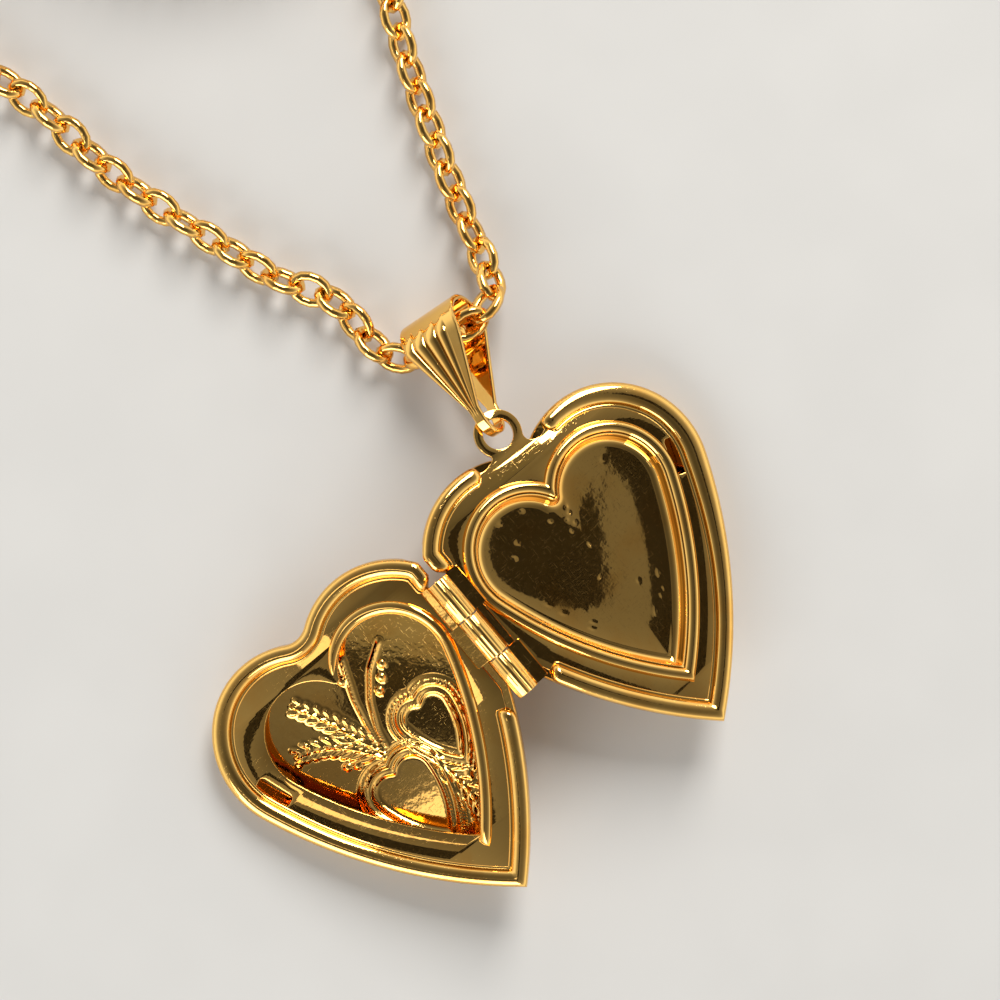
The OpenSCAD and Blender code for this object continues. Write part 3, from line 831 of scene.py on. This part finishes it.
class LOCKET_OT_stage(bpy.types.Operator):
    """Camera, floor and soft studio light"""
    bl_idname = "locket.stage"
    bl_label = "Stage"

    def execute(self, context):
        scene = context.scene
        data = bpy.data.cameras.new("camera")
        data.lens, data.sensor_width = CAMERA_LENS, 36
        data.clip_start, data.clip_end = 0.005, 10
        camera = bpy.data.objects.new("camera", data)
        scene.collection.objects.link(camera)
        right, back = Vector(CAMERA_RIGHT), Vector(CAMERA_BACK)
        up = back.cross(right).normalized()
        right = up.cross(back).normalized()
        for column, axis in enumerate((right, up, back.normalized())):
            for row in range(3):
                camera.matrix_world[row][column] = axis[row]
        camera.matrix_world.translation = CAMERA_AT
        scene.camera = camera

        bpy.ops.object.select_all(action="DESELECT")
        bpy.ops.mesh.primitive_circle_add(vertices=64, radius=1.2, fill_type="NGON")
        floor = name_piece("floor")
        shader = Shader("pale_floor")
        c = tuple(scene.locket_colours.floor)
        soft = shader.noise(9.0, detail=2.0)
        shader.give(Base_Color=shader.mix(soft.between(0.3, 0.7), (*c, 1),
                                          (*[x * 0.97 for x in c], 1)), Roughness=0.9)
        floor.data.materials.append(shader.material)
        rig.stage(floor)

        def lamp(name, at, size, power, tint, aim=AIM):
            light = bpy.data.lights.new(name, "AREA")
            light.shape, light.size, light.size_y = "RECTANGLE", *size
            light.energy, light.color = power, tint
            piece = bpy.data.objects.new(name, light)
            scene.collection.objects.link(piece)
            piece.location = at
            piece.rotation_euler = (Vector(aim) - Vector(at)).to_track_quat("-Z", "Y").to_euler()

        lamp("key", (0.42, 0.30, 0.42), (0.26, 0.38), 4.2, (1.0, 0.98, 0.95))
        lamp("window", (-0.55, -0.25, 0.30), (0.5, 0.35), 2.2, (0.95, 0.98, 1.0))

        def card(name, at, size, turn):
            bpy.ops.object.select_all(action="DESELECT")
            bpy.ops.mesh.primitive_plane_add(size=1, location=at)
            piece = name_piece(name)
            piece.scale = (*size, 1)
            piece.rotation_euler = (0, 0, turn)
            bpy.ops.object.transform_apply(location=True, rotation=True, scale=True)
            black = Shader(name)
            black.give(Base_Color=(0.012, 0.010, 0.008, 1), Roughness=0.8)
            piece.data.materials.append(black.material)
            piece.visible_camera = piece.visible_shadow = piece.visible_diffuse = False
            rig.stage(piece)

        # The dark card mirrors in the back's recess, the strip and the pane in the cover.
        card("dark_card", (0.1353, -0.0178, 0.26), (0.052, 0.08), math.radians(-40))
        card("dark_strip", (-0.205, -0.048, 0.26), (0.07, 0.045), math.radians(-40))
        lamp("pane", (-0.163, 0.010, 0.25), (0.045, 0.03), 0.006, (1.0, 0.93, 0.86),
             (-0.008, -0.002, 0))

        world = bpy.data.worlds.new("studio")
        scene.world = world
        world.use_nodes = True
        nodes, links = world.node_tree.nodes, world.node_tree.links
        where = nodes.new("ShaderNodeTexCoord")
        split = nodes.new("ShaderNodeSeparateXYZ")
        ramp = nodes.new("ShaderNodeValToRGB")
        links.new(where.outputs["Generated"], split.inputs[0])
        links.new(split.outputs["Z"], ramp.inputs[0])
        links.new(ramp.outputs[0], nodes["Background"].inputs[0])
        stops = ((0.0, 1.25), (0.35, 1.05), (0.62, 0.36), (0.84, 0.18), (1.0, 0.07))
        ramp.color_ramp.elements.remove(ramp.color_ramp.elements[1])
        for number, (at, grey) in enumerate(stops):
            stop = (ramp.color_ramp.elements[0] if number == 0
                    else ramp.color_ramp.elements.new(at))
            stop.position, stop.color = at, (grey, grey, grey * 0.98, 1)
        scene.view_settings.view_transform = "Standard"
        return {"FINISHED"}


# Routes of the two strands, in millimetres, from the bail's loop to the coil.
LEFT_ROUTE = [
    (9.2, 12.4, 2.55), (7.9, 12.53, 2.0), (6.9, 12.8, 1.5), (6.0, 13.6, 1.2), (5.7, 15.2, 1.1),
    (6.0, 17.2, 1.1), (5.4, 19.2, 1.1), (4.0, 21.2, 1.1), (3.2, 23.6, 1.1), (2.4, 26.0, 1.1),
    (1.6, 28.4, 1.1), (0.9, 31.0, 1.1), (0.3, 33.8, 1.1), (0.1, 36.6, 1.1), (-0.6, 39.6, 1.1),
    (-1.5, 42.6, 1.1), (-1.6, 45.8, 1.1), (-0.4, 49.2, 1.1), (1.8, 52.6, 1.1), (4.8, 55.8, 1.1),
    (8.6, 58.6, 1.1)]
RIGHT_ROUTE = [
    (9.2, 12.4, 2.55), (10.1, 12.25, 3.1), (11.2, 12.1, 3.5), (12.4, 12.3, 3.2),
    (13.4, 13.2, 2.2), (13.9, 14.8, 1.4), (14.4, 16.6, 1.1), (15.0, 18.4, 1.1),
    (15.6, 20.3, 1.1), (16.4, 22.4, 1.1), (17.2, 24.6, 1.1), (18.0, 26.6, 1.1),
    (19.0, 28.8, 1.1), (20.4, 31.2, 1.3), (22.4, 33.2, 2.1), (25.0, 34.8, 3.3)]
LEFT_TAIL = [(12.8, 46.0, 1.1), (13.9, 46.2, 1.1), (15.0, 46.4, 1.1)]
RIGHT_TAIL = [(31.5, 52.8, 2.0), (30.5, 53.1, 1.7), (29.5, 53.4, 1.4)]


def coil(start, stop, turns, way, z, crowd):
    """Turns of a spiral between two points, in millimetres; crowd under 1 crowds its end."""
    centre = np.array(COIL_AT)
    a, b = np.array(start[:2]) - centre, np.array(stop[:2]) - centre
    from_angle, to_angle = math.atan2(a[1], a[0]), math.atan2(b[1], b[0])
    sweep = way * ((way * (to_angle - from_angle)) % (2 * math.pi) + 2 * math.pi * turns)
    t = np.linspace(0, 1, 90)[3:-3]
    r = np.linalg.norm(a) + (np.linalg.norm(b) - np.linalg.norm(a)) * t ** crowd
    angle = from_angle + sweep * t
    ease = np.clip(t * 12, 0, 1) * np.clip((1 - t) * 12, 0, 1)
    low = np.where(t < 0.5, start[2], stop[2])
    return np.c_[centre[0] + r * np.cos(angle), centre[1] + r * np.sin(angle),
                 low + (z - low) * ease]


class LOCKET_OT_chain(bpy.types.Operator):
    """Both strands of the cable chain, link by link"""
    bl_idname = "locket.chain"
    bl_label = "Chain"

    def link(self, s):
        """One oval link, modelled once."""
        bpy.ops.object.select_all(action="DESELECT")
        bpy.ops.mesh.primitive_torus_add(
            major_segments=14, minor_segments=6, major_radius=1, minor_radius=s.wire / 2)
        piece = name_piece("link")
        co = np.array([v.co for v in piece.data.vertices])
        out = np.hypot(co[:, 0], co[:, 1])
        way = co[:, :2] / out[:, None]
        half = np.array([(s.link_len - s.wire) / 2, (s.link_w - s.wire) / 2])
        across = way / half
        across /= np.linalg.norm(across, axis=1)[:, None]
        flat = way * half + across * (out - 1)[:, None]
        faces = [list(face.vertices) for face in piece.data.polygons]
        bpy.data.objects.remove(piece)
        return np.c_[flat, co[:, 2]], faces

    def strand(self, name, s, route, base_roll, swing, skip, seed):
        link, faces = self.link(s)
        path = smooth_path(route)
        gone = np.r_[0, np.cumsum(np.linalg.norm(np.diff(path, axis=0), axis=1))]
        pitch = s.link_len - 2 * s.wire
        random.seed(seed)
        points, polygons = [], []
        places = np.arange(skip * pitch, gone[-1] - 0.2, pitch)
        for number, at in enumerate(places):
            centre, a, b = (np.array([np.interp(x, gone, path[:, k]) for k in range(3)])
                            for x in (at, at - 0.7, at + 0.7))
            ahead = (b - a) / np.linalg.norm(b - a)
            side = np.cross(ahead, (0, 0, 1))
            side /= np.linalg.norm(side)
            rise = np.cross(side, ahead)
            roll = math.radians(base_roll + 90 * ((number + skip) % 2)
                                + random.uniform(-swing, swing))
            across = math.cos(roll) * side + math.sin(roll) * rise
            over = np.cross(ahead, across)
            start = len(points) * len(link)
            points.append(centre + link @ np.array([ahead, across, over]))
            polygons += [[v + start for v in face] for face in faces]
        mesh = bpy.data.meshes.new(name)
        mesh.from_pydata((np.vstack(points) * MM).tolist(), [], polygons)
        piece = bpy.data.objects.new(name, mesh)
        bpy.context.collection.objects.link(piece)
        bpy.ops.object.select_all(action="DESELECT")
        bpy.context.view_layer.objects.active = piece
        piece.select_set(True)
        return close_up(piece, 80), path * MM

    def execute(self, context):
        s = in_mm(context.scene.chain_sizes)
        gold = finish("chain")
        plan = (
            ("strand_left", LEFT_ROUTE, LEFT_TAIL, 1, -1, 1.1, 36, 11, 0,
             ("clasp_tube", "clasp_bolt", "clasp_spring_coil", "clasp_loop", "clasp_jump_ring"),
             ("chain_left", "chain_left_tail", "chain_coil")),
            ("strand_right", RIGHT_ROUTE, RIGHT_TAIL, 2, 1, 3.3, 45, 10, 1,
             ("end_jump_ring", "end_tag"),
             ("chain_right", "chain_right_tail", "chain_coil")))
        for name, route, tail, turns, way, z, roll, swing, skip, with_pieces, nodes in plan:
            points = (route + coil(route[-1], tail[0], turns, way, z,
                                   0.62 if way < 0 else 1.0).tolist() + tail)
            piece, path = self.strand(name, s, points, roll, swing, skip, 5 + skip)
            finish_piece(piece, "chain", "chain_gold", gold, *nodes)
            run = np.linalg.norm(np.diff(path, axis=0), axis=1).sum()
            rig.cord(piece, exit=path[0], length=run, diameter=s.link_w * MM,
                    far_end="fitting", stiffness="limp", lay="coiled", path=path,
                    with_pieces=with_pieces)
        return {"FINISHED"}


class LOCKET_OT_clasp(bpy.types.Operator):
    """Spring ring clasp, jump rings and the flat end ring"""
    bl_idname = "locket.clasp"
    bl_label = "Clasp"

    def jump_ring(self, name, centre, r, wire):
        """An upright ring of round wire with a closed butt joint."""
        joint = math.radians(2)
        t = np.linspace(joint, 2 * math.pi - joint, 49)
        path = np.c_[r * np.cos(t), np.zeros(len(t)), r * np.sin(t)] + centre
        return bent_grid(name, tube_rows(path, wire, 14, (0, 1, 0), ends="flat"), 60)

    def execute(self, context):
        s = in_mm(context.scene.chain_sizes)
        gold = finish("clasp")
        pivot = np.array(JOINTS["gate_slide"]["pos_m"]) / MM
        opening = math.radians(27)

        def arc(start, stop, count):
            t = np.linspace(start, stop, count)
            return pivot + np.c_[s.clasp_r * np.cos(t), s.clasp_r * np.sin(t), 0 * t]

        bore = s.gate_r + 0.05
        path = arc(opening, 2 * math.pi - opening, 73)
        rows = tube_rows(path, s.clasp_tube_r, 24, ends="flat")[3:-3]
        mouth = [tube_rows(path, r, 24, ends="flat")[3:-3] for r in (bore + 0.08, bore)]
        deep = 36
        rows = ([mouth[1][deep]] + [mouth[1][i] for i in range(deep, -1, -2)] + [mouth[0][0]]
                + rows + [mouth[0][-1]] + [mouth[1][-i] for i in (1, 4, 7)])
        first, last = rows[0].mean(0), rows[-1].mean(0)
        rows = [np.tile(first, (25, 1))] + rows + [np.tile(last, (25, 1))]
        tube = bent_grid("clasp_tube", rows, 40)
        finish_piece(tube, "chain", "clasp_gold", gold, "clasp_ring")

        self.slot(tube, pivot, s)

        rod = bent_grid("clasp_bolt", tube_rows(
            arc(-opening + 0.05, opening + math.radians(39), 33), s.gate_r, 16,
            ends="flat"), 50)
        turn = opening + math.radians(8)
        out = np.array([math.cos(turn), math.sin(turn), 0])
        base = pivot + s.clasp_r * out
        reach = s.clasp_tube_r + 0.22
        knob_r = [0.2] * 6 + [0.21, 0.24, 0.22]
        knob = bent_grid("clasp_knob", tube_rows(
            [base + out * reach * q for q in (0, .3, .6, .8, .9, .95, .98, 1.0, 1.04)],
            knob_r, 14), 50)
        bpy.ops.object.select_all(action="DESELECT")
        knob.select_set(True)
        rod.select_set(True)
        context.view_layer.objects.active = rod
        bpy.ops.object.join()
        finish_piece(rod, "gate", "clasp_gold", gold, "clasp_gate")

        stop = math.pi + opening - math.radians(1)
        start = stop - math.radians(80)
        t = np.linspace(0, 1, 260)
        centre = arc(start, stop, 260)
        out = (centre - pivot) / s.clasp_r
        curl = t * 2 * math.pi * 13
        helix = centre + 0.33 * (np.cos(curl)[:, None] * out
                                 + np.sin(curl)[:, None] * np.array([0, 0, 1.0]))
        spring = bent_grid("clasp_spring_coil", tube_rows(helix, 0.07, 6), 70)
        finish_piece(spring, "chain", "spring_steel", finish("steel"), "clasp_spring")

        low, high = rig.box("clasp_eye")
        eye = np.array((low + high) / 2) / MM
        loop = bent_grid("clasp_loop", looped(
            [row[:-1] for row in self.closed_ring(eye, 0.95, 0.28)]), 60)
        finish_piece(loop, "chain", "clasp_gold", gold, "clasp_eye")
        for name, node in (("clasp_jump_ring", "clasp_link"), ("end_jump_ring", "end_link")):
            low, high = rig.box(node)
            ring = self.jump_ring(name, np.array((low + high) / 2) / MM, s.ring_r,
                                  s.ring_wire)
            finish_piece(ring, "chain", "clasp_gold", gold, node)

        mount = frame["record"]["mounts"][0]
        centre = np.array(mount["pos_m"]) / MM
        axis = np.array(mount["axis"])
        along = np.array([axis[2], 0, -axis[0]])
        across = np.array([0, 1.0, 0])
        eyelet_r, eyelet_band = 0.6, 0.5
        far = s.end_hole_r + s.end_band + eyelet_r + 0.1
        big, small = s.end_hole_r + s.end_band, eyelet_r + eyelet_band
        cross = (far * far + big * big - small * small) / (2 * far)
        open_a = math.acos(cross / big)
        open_b = math.acos((far - cross) / small)
        outline = np.vstack([
            circle((0, 0), big, 60, open_a + 0.06, 2 * math.pi - open_a - 0.06, closed=False),
            circle((far, 0), small, 30, -math.pi + open_b + 0.1, math.pi - open_b - 0.1,
                   closed=False)])
        tag = curve_plate(
            "end_tag", [outline, circle((0, 0), s.end_hole_r), circle((far, 0), eyelet_r, 24)],
            -0.4, 0.4, 0.12,
            lambda p: centre + p[:, :1] * along + p[:, 1:2] * across + p[:, 2:] * axis)
        finish_piece(tag, "chain", "clasp_gold", gold, "end_ring")
        return {"FINISHED"}

    def slot(self, tube, pivot, s):
        """Cuts the long slot that the gate's knob slides in."""
        t = np.radians(np.linspace(26, 100, 38))
        section = np.array([(s.clasp_r + 0.1, -0.28), (s.clasp_r + 1.2, -0.28),
                            (s.clasp_r + 1.2, 0.28), (s.clasp_r + 0.1, 0.28)])
        rows = [pivot + np.c_[section[:, 0] * math.cos(a), section[:, 0] * math.sin(a),
                              section[:, 1]] for a in t]
        rows = ([np.tile(rows[0].mean(0), (4, 1))] + rows
                + [np.tile(rows[-1].mean(0), (4, 1))])
        cutter = bent_grid("slot_cutter", looped(rows), 30)
        bpy.ops.object.select_all(action="DESELECT")
        bpy.context.view_layer.objects.active = tube
        tube.select_set(True)
        cut = tube.modifiers.new("slot", "BOOLEAN")
        cut.operation, cut.object, cut.solver = "DIFFERENCE", cutter, "EXACT"
        bpy.ops.object.modifier_apply(modifier=cut.name)
        bpy.data.objects.remove(cutter)
        close_up(tube, 40)

    def closed_ring(self, centre, r, wire, steps=48, sides=14):
        t = np.linspace(0, 2 * math.pi, steps + 1)
        turn = np.linspace(0, 2 * math.pi, sides + 1)
        rows = []
        for a in t:
            out = np.array([math.cos(a), math.sin(a), 0])
            rows.append(centre + (r + wire * np.cos(turn))[:, None] * out
                        + (wire * np.sin(turn))[:, None] * np.array([0, 0, 1.0]))
        return rows


class LOCKET_OT_bail(bpy.types.Operator):
    """Fold-over bail with its flutes"""
    bl_idname = "locket.bail"
    bl_label = "Bail"

    def execute(self, context):
        s = in_mm(context.scene.locket_sizes)
        hook = np.array(JOINTS["ear_swing"]["pos_m"]) / MM
        loop = np.array(JOINTS["bail_swing"]["pos_m"]) / MM
        wide = np.array(JOINTS["ear_swing"]["axis"])
        wide /= np.linalg.norm(wide)
        run = np.linalg.norm(loop - hook)
        along = (loop - hook) / run
        rise = np.cross(wide, along)
        ra, rb = s.bail_hook_r + s.bail_t / 2, s.bail_top_r + s.bail_t / 2
        lean = math.asin((rb - ra) / run)
        top = math.pi / 2 + lean

        def arc(centre, r, start, stop, count):
            t = np.linspace(start, stop, count)
            return np.c_[centre + r * np.cos(t), r * np.sin(t), np.cos(t), np.sin(t)]

        def straight(a, b, count):
            t = np.linspace(0, 1, count + 2)[1:-1, None]
            return a + (b - a) * t

        hook_arc = arc(0, ra, top, 2 * math.pi - top, 40)
        loop_arc = arc(run, rb, -top, top, 56)
        path = np.vstack([hook_arc, straight(hook_arc[-1], loop_arc[0], 40), loop_arc,
                          straight(loop_arc[-1], hook_arc[0], 60)])
        corners = 5
        rows = []
        for u, v, nu, nv in path:
            q = np.clip((u - 0.6) / (run - 0.6), 0, 1)
            half = (s.bail_hook_w + (s.bail_top_w - s.bail_hook_w) * q) / 2
            front = max(0.0, nv) * np.clip((u - 0.1) / 0.8, 0, 1) * np.clip(
                (run + 0.9 - u) / 0.9, 0, 1)
            x = np.linspace(-1, 1, 61)
            lift = np.zeros(61)
            for centre, span in ((-0.78, 0.17), (-0.40, 0.19), (0.02, 0.2), (0.42, 0.17)):
                lift = np.maximum(lift, np.sqrt(np.clip(1 - ((x - centre) / span) ** 2, 0, 1)))
            lift = lift * 0.2 * front * (0.35 + 0.65 * q)
            edge = 0.11
            inset = np.clip((1 - np.abs(x)) * half / edge, 0, 1)
            ease = np.sqrt(1 - (1 - inset) ** 2)
            outer = np.c_[x * half, s.bail_t / 2 * ease + lift * ease]
            inner = np.c_[(x * half)[::-1], (-s.bail_t / 2 * ease)[::-1]]
            section = np.vstack([outer, inner[1:]])
            centre = hook + u * along + v * rise
            normal = nu * along + nv * rise
            rows.append(centre + section[:, :1] * wide + section[:, 1:] * normal)
        rows.append(rows[0])
        piece = bent_grid("bail_band", rows, 50)
        finish_piece(piece, "bail", "bail_gold", finish("bail"), "bail")
        return {"FINISHED"}


class LOCKET_OT_back_shell(bpy.types.Operator):
    """Domed back and its rolled rim"""
    bl_idname = "locket.back_shell"
    bl_label = "Back shell"

    def execute(self, context):
        leaf = Leaf(in_mm(context.scene.locket_sizes), 1)
        gold = finish("shell")
        heart = outer_heart(leaf.s)
        dome = bent_grid("back_dome", looped([leaf.place(row) for row in
                                              dome_rows(leaf, heart, 24)]), 45)
        finish_piece(dome, "back_leaf", "polished_gold", gold, "back_shell")
        above, below, right, left = rim_spans(leaf)
        count = 2 * heart.half_count
        width = far_swell(heart, 0.32)
        for name, ids in (("back_bead", np.arange(below - count, right + 1)),
                          ("back_bead_lobe", np.arange(left, above + 1))):
            piece = rim_bead(name, leaf, ids, width)
            finish_piece(piece, "back_leaf", "polished_gold", gold, "back_shell")
        return {"FINISHED"}


class LOCKET_OT_back_plate(bpy.types.Operator):
    """Inner plate with its ear, the ridge and the picture recess"""
    bl_idname = "locket.back_plate"
    bl_label = "Back plate"

    def execute(self, context):
        s = in_mm(context.scene.locket_sizes)
        leaf = Leaf(s, 1)
        gold = finish("inner")
        inner = inner_heart(s, steps=(52, 60, 8))
        top, low = -s.plate_top, -s.plate_top - s.plate_t
        margin = curve_plate(
            "back_margin", [margin_outline(leaf, True), leaf.flat(inner.ring(0.70)[::-1]),
                            ear_hole(leaf), catch_slot(leaf)], low, top, 0.04, leaf.place)
        finish_piece(margin, "back_leaf", "inner_gold", gold, "back_plate")

        floor = -s.recess_floor
        section = [(0.92, top - 0.1), (0.89, top - 0.02)]
        section += [(0.50 + 0.36 * math.cos(a), top - 0.03 + (s.lip_h + 0.05) * math.sin(a))
                    for a in np.linspace(0.2, 2.55, 13)]
        section += [(0.16, top + 0.11), (0.10, top + 0.15), (0.03, top + 0.10), (0.0, top)]
        section += [(-0.05, top - 0.3), (-0.1, top - 0.6), (-0.18, floor + 0.2),
                    (-0.3, floor + 0.1), (-0.5, floor + 0.05)]
        rows = [leaf.at(inner.ring(d), z) for d, z in section]
        star = np.array([0.0, 1.6])
        base = inner.ring(-0.5)
        random.seed(11)
        pits = []
        for _ in range(17):
            at = base[random.randrange(len(base))]
            pits.append((star + (at - star) * random.uniform(0.72, 0.95),
                         random.uniform(0.13, 0.24), random.choice((-1, 1)) * 0.035))
        for _ in range(5):
            pits.append((star + np.array([random.uniform(-2, 2.6), random.uniform(-2, 3)]),
                         random.uniform(0.12, 0.2), -0.03))
        for k in np.linspace(1, 0, 56)[1:]:
            p = star + k * (base - star)
            z = floor + 0.05 * k ** 6 + 0.10 * np.clip(
                (-p[:, 0] - p[:, 1] - 0.5) / 6, 0, 1) ** 2 * k
            for at, r, deep in pits:
                z = z + deep * np.exp(-(((p - at) ** 2).sum(1)) / (0.5 * r) ** 2)
            rows.append(leaf.at(p, z))
        under = [(k, floor - s.plate_t) for k in (0, 0.5, 1)]
        for k, z in under:
            rows.append(leaf.at(star + k * (base - star), z))
        rows += [leaf.at(inner.ring(d), z) for d, z in (
            (0.1, floor - s.plate_t), (0.25, floor - 0.2), (0.28, low), (0.86, low),
            (0.92, top - 0.1))]
        recess = bent_grid("picture_recess", looped([leaf.place(row) for row in rows]), 50)
        finish_piece(recess, "back_leaf", "inner_gold", gold, "back_plate")
        return {"FINISHED"}


class LOCKET_OT_cover_shell(bpy.types.Operator):
    """Domed cover with its pressed pattern and rolled rim"""
    bl_idname = "locket.cover_shell"
    bl_label = "Cover shell"

    def execute(self, context):
        leaf = Leaf(in_mm(context.scene.locket_sizes), -1)
        heart = outer_heart(leaf.s, steps=(78, 74, 10))
        relief = Relief()
        dome = bent_grid("cover_dome", looped([
            leaf.place(row) for row in dome_rows(leaf, heart, 78, relief)]), 45)
        finish_piece(dome, "cover_leaf", "embossed_gold", finish("embossed"), "cover_shell")
        above, below, _, _ = rim_spans(leaf)
        heart = outer_heart(leaf.s)
        piece = rim_bead("cover_bead", leaf, np.arange(below - 2 * heart.half_count, above + 1),
                         far_swell(heart, 0.12))
        finish_piece(piece, "cover_leaf", "polished_gold", finish("shell"), "cover_shell")
        return {"FINISHED"}


class LOCKET_OT_cover_frame(bpy.types.Operator):
    """Frame with the heart-shaped window and the ridge on its hinge side"""
    bl_idname = "locket.cover_frame"
    bl_label = "Cover frame"

    def execute(self, context):
        s = in_mm(context.scene.locket_sizes)
        leaf = Leaf(s, -1)
        gold = finish("inner")
        inner = inner_heart(s)
        top, low = -s.plate_top, -s.plate_top - s.plate_t
        margin = curve_plate(
            "cover_margin", [margin_outline(leaf, False), leaf.flat(inner.ring(0.02)[::-1]),
                             catch_slot(leaf)], low, top, 0.05, leaf.place)
        finish_piece(margin, "cover_leaf", "inner_gold", gold, "cover_frame")
        count = 2 * inner.half_count
        ring = inner.ring()
        ids = np.arange(int(count * 0.47), count + 3)
        tall = 1 - 0.35 * np.clip((ring[:, 1] - 5) / 3, 0, 1)
        profile = [(0.36 + 0.38 * math.cos(a), top - 0.06 + (s.lip_h + 0.06) * math.sin(a))
                   for a in np.linspace(0, math.pi, 17)]
        profile += [(-0.03, top - 0.15), (0.02, low + 0.02), (0.3, low + 0.05),
                    (0.6, low + 0.05)]
        ridge = bead("cover_ridge", leaf, inner, ids, profile, (0.36, top - 0.1),
                     taper=(3.4, 1.2), tall=tall)
        finish_piece(ridge, "cover_leaf", "inner_gold", gold, "cover_frame")
        return {"FINISHED"}


class LOCKET_OT_hinge(bpy.types.Operator):
    """Three rolled knuckles with their straps, and the pin"""
    bl_idname = "locket.hinge"
    bl_label = "Hinge"

    def knuckle(self, name, leaf, y):
        s = leaf.s
        top, low, reach = -0.05, -s.plate_top, s.wall_x + 0.7
        bore, r = s.pin_r + 0.04, s.knuckle_r
        start, stop = math.asin(top / r), 2 * math.pi + math.asin(low / r)
        t = np.linspace(start, stop, 73)
        groove = np.zeros(len(t))
        for at, deep in ((38, 0.05), (62, 0.03), (96, 0.07), (128, 0.035), (165, 0.05),
                         (215, 0.04), (260, 0.05)):
            groove = np.maximum(groove, deep * np.exp(-((np.degrees(t) - at) / 4.5) ** 2))
        radius = r - groove - 0.025 * np.sin(4.5 * t) ** 2
        roll = np.c_[radius * np.cos(t), radius * np.sin(t)]
        strap = np.array([(reach, low), (reach, low + 0.1), (reach, top - 0.08),
                          (reach - 0.08, top), (1.1, top)])
        ring = np.vstack([strap, roll, [(1.0, low)]])
        first = math.radians(-35)
        angle = np.linspace(first, first + 2 * math.pi, len(ring), endpoint=False)
        hole = bore * np.c_[np.cos(angle), np.sin(angle)]
        chamfer = 0.05
        half = s.knuckle_len / 2
        shrunk = ring + (np.array([0, -0.03]) - ring) * 0.045
        rows = []
        for outline, dy in ((shrunk, -half), (ring, -half + chamfer), (ring, 0),
                            (ring, half - chamfer), (shrunk, half), (hole, half),
                            (hole, -half), (shrunk, -half)):
            rows.append(np.c_[outline[:, 0], np.full(len(outline), y + dy), outline[:, 1]])
        return bent_grid(name, looped([leaf.place(row) for row in rows]), 35)

    def execute(self, context):
        s = in_mm(context.scene.locket_sizes)
        pitch = s.knuckle_len + s.knuckle_gap
        for name, side, y, body, node in (
                ("knuckle_upper", 1, s.knuckle_mid + pitch, "back_leaf", "back_knuckle_upper"),
                ("knuckle_middle", -1, s.knuckle_mid, "cover_leaf", "cover_knuckle"),
                ("knuckle_lower", 1, s.knuckle_mid - pitch, "back_leaf", "back_knuckle_lower")):
            piece = self.knuckle(name, Leaf(s, side), y)
            finish_piece(piece, body, "polished_gold", finish("shell"), node)
        low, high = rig.box("hinge_pin")
        y = np.linspace(low.y / MM + 0.16, high.y / MM - 0.16, 24)
        z = (low.z + high.z) / 2 / MM
        path = np.c_[0 * y, y, 0 * y + z]
        rows = tube_rows(path, s.pin_r, 20, ends="flat")
        pin = bent_grid("hinge_pin_rod", rows, 50)
        finish_piece(pin, "back_leaf", "pin_gold", finish("pin"), "hinge_pin")
        return {"FINISHED"}


class LOCKET_PT_panel(bpy.types.Panel):
    """Lists the sizes and the pieces"""
    bl_idname = "LOCKET_PT_panel"
    bl_label = "Heart locket"
    bl_space_type = "VIEW_3D"
    bl_region_type = "UI"
    bl_category = "Locket"

    def draw(self, context):
        for group in GROUPS:
            settings = getattr(context.scene, group)
            for name in settings.__annotations__:
                self.layout.prop(settings, name)
        for operator in OPERATORS:
            self.layout.operator(operator.bl_idname)


GROUPS = {"locket_sizes": LocketSizes, "chain_sizes": ChainSizes,
          "locket_colours": LocketColours}
OPERATORS = (LOCKET_OT_stage, LOCKET_OT_clasp, LOCKET_OT_chain, LOCKET_OT_bail,
             LOCKET_OT_back_shell, LOCKET_OT_back_plate, LOCKET_OT_cover_shell,
             LOCKET_OT_cover_frame, LOCKET_OT_hinge)


def register():
    for part in (*GROUPS.values(), *OPERATORS, LOCKET_PT_panel):
        bpy.utils.register_class(part)
    for name, group in GROUPS.items():
        setattr(bpy.types.Scene, name, bpy.props.PointerProperty(type=group))


def unregister():
    for name in GROUPS:
        delattr(bpy.types.Scene, name)
    for part in (LOCKET_PT_panel, *reversed(OPERATORS), *reversed(GROUPS.values())):
        bpy.utils.unregister_class(part)


def main():
    register()
    for operator in OPERATORS:
        group, name = operator.bl_idname.split(".")
        getattr(getattr(bpy.ops, group), name)()
    boxes = {"cad": [list(corner) for corner in CAD_BOX],
             "visual": [list(corner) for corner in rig.bounds()]}
    with open(SIZE_FILE, "w") as out:
        json.dump(boxes, out)


if __name__ == "__main__":
    main()
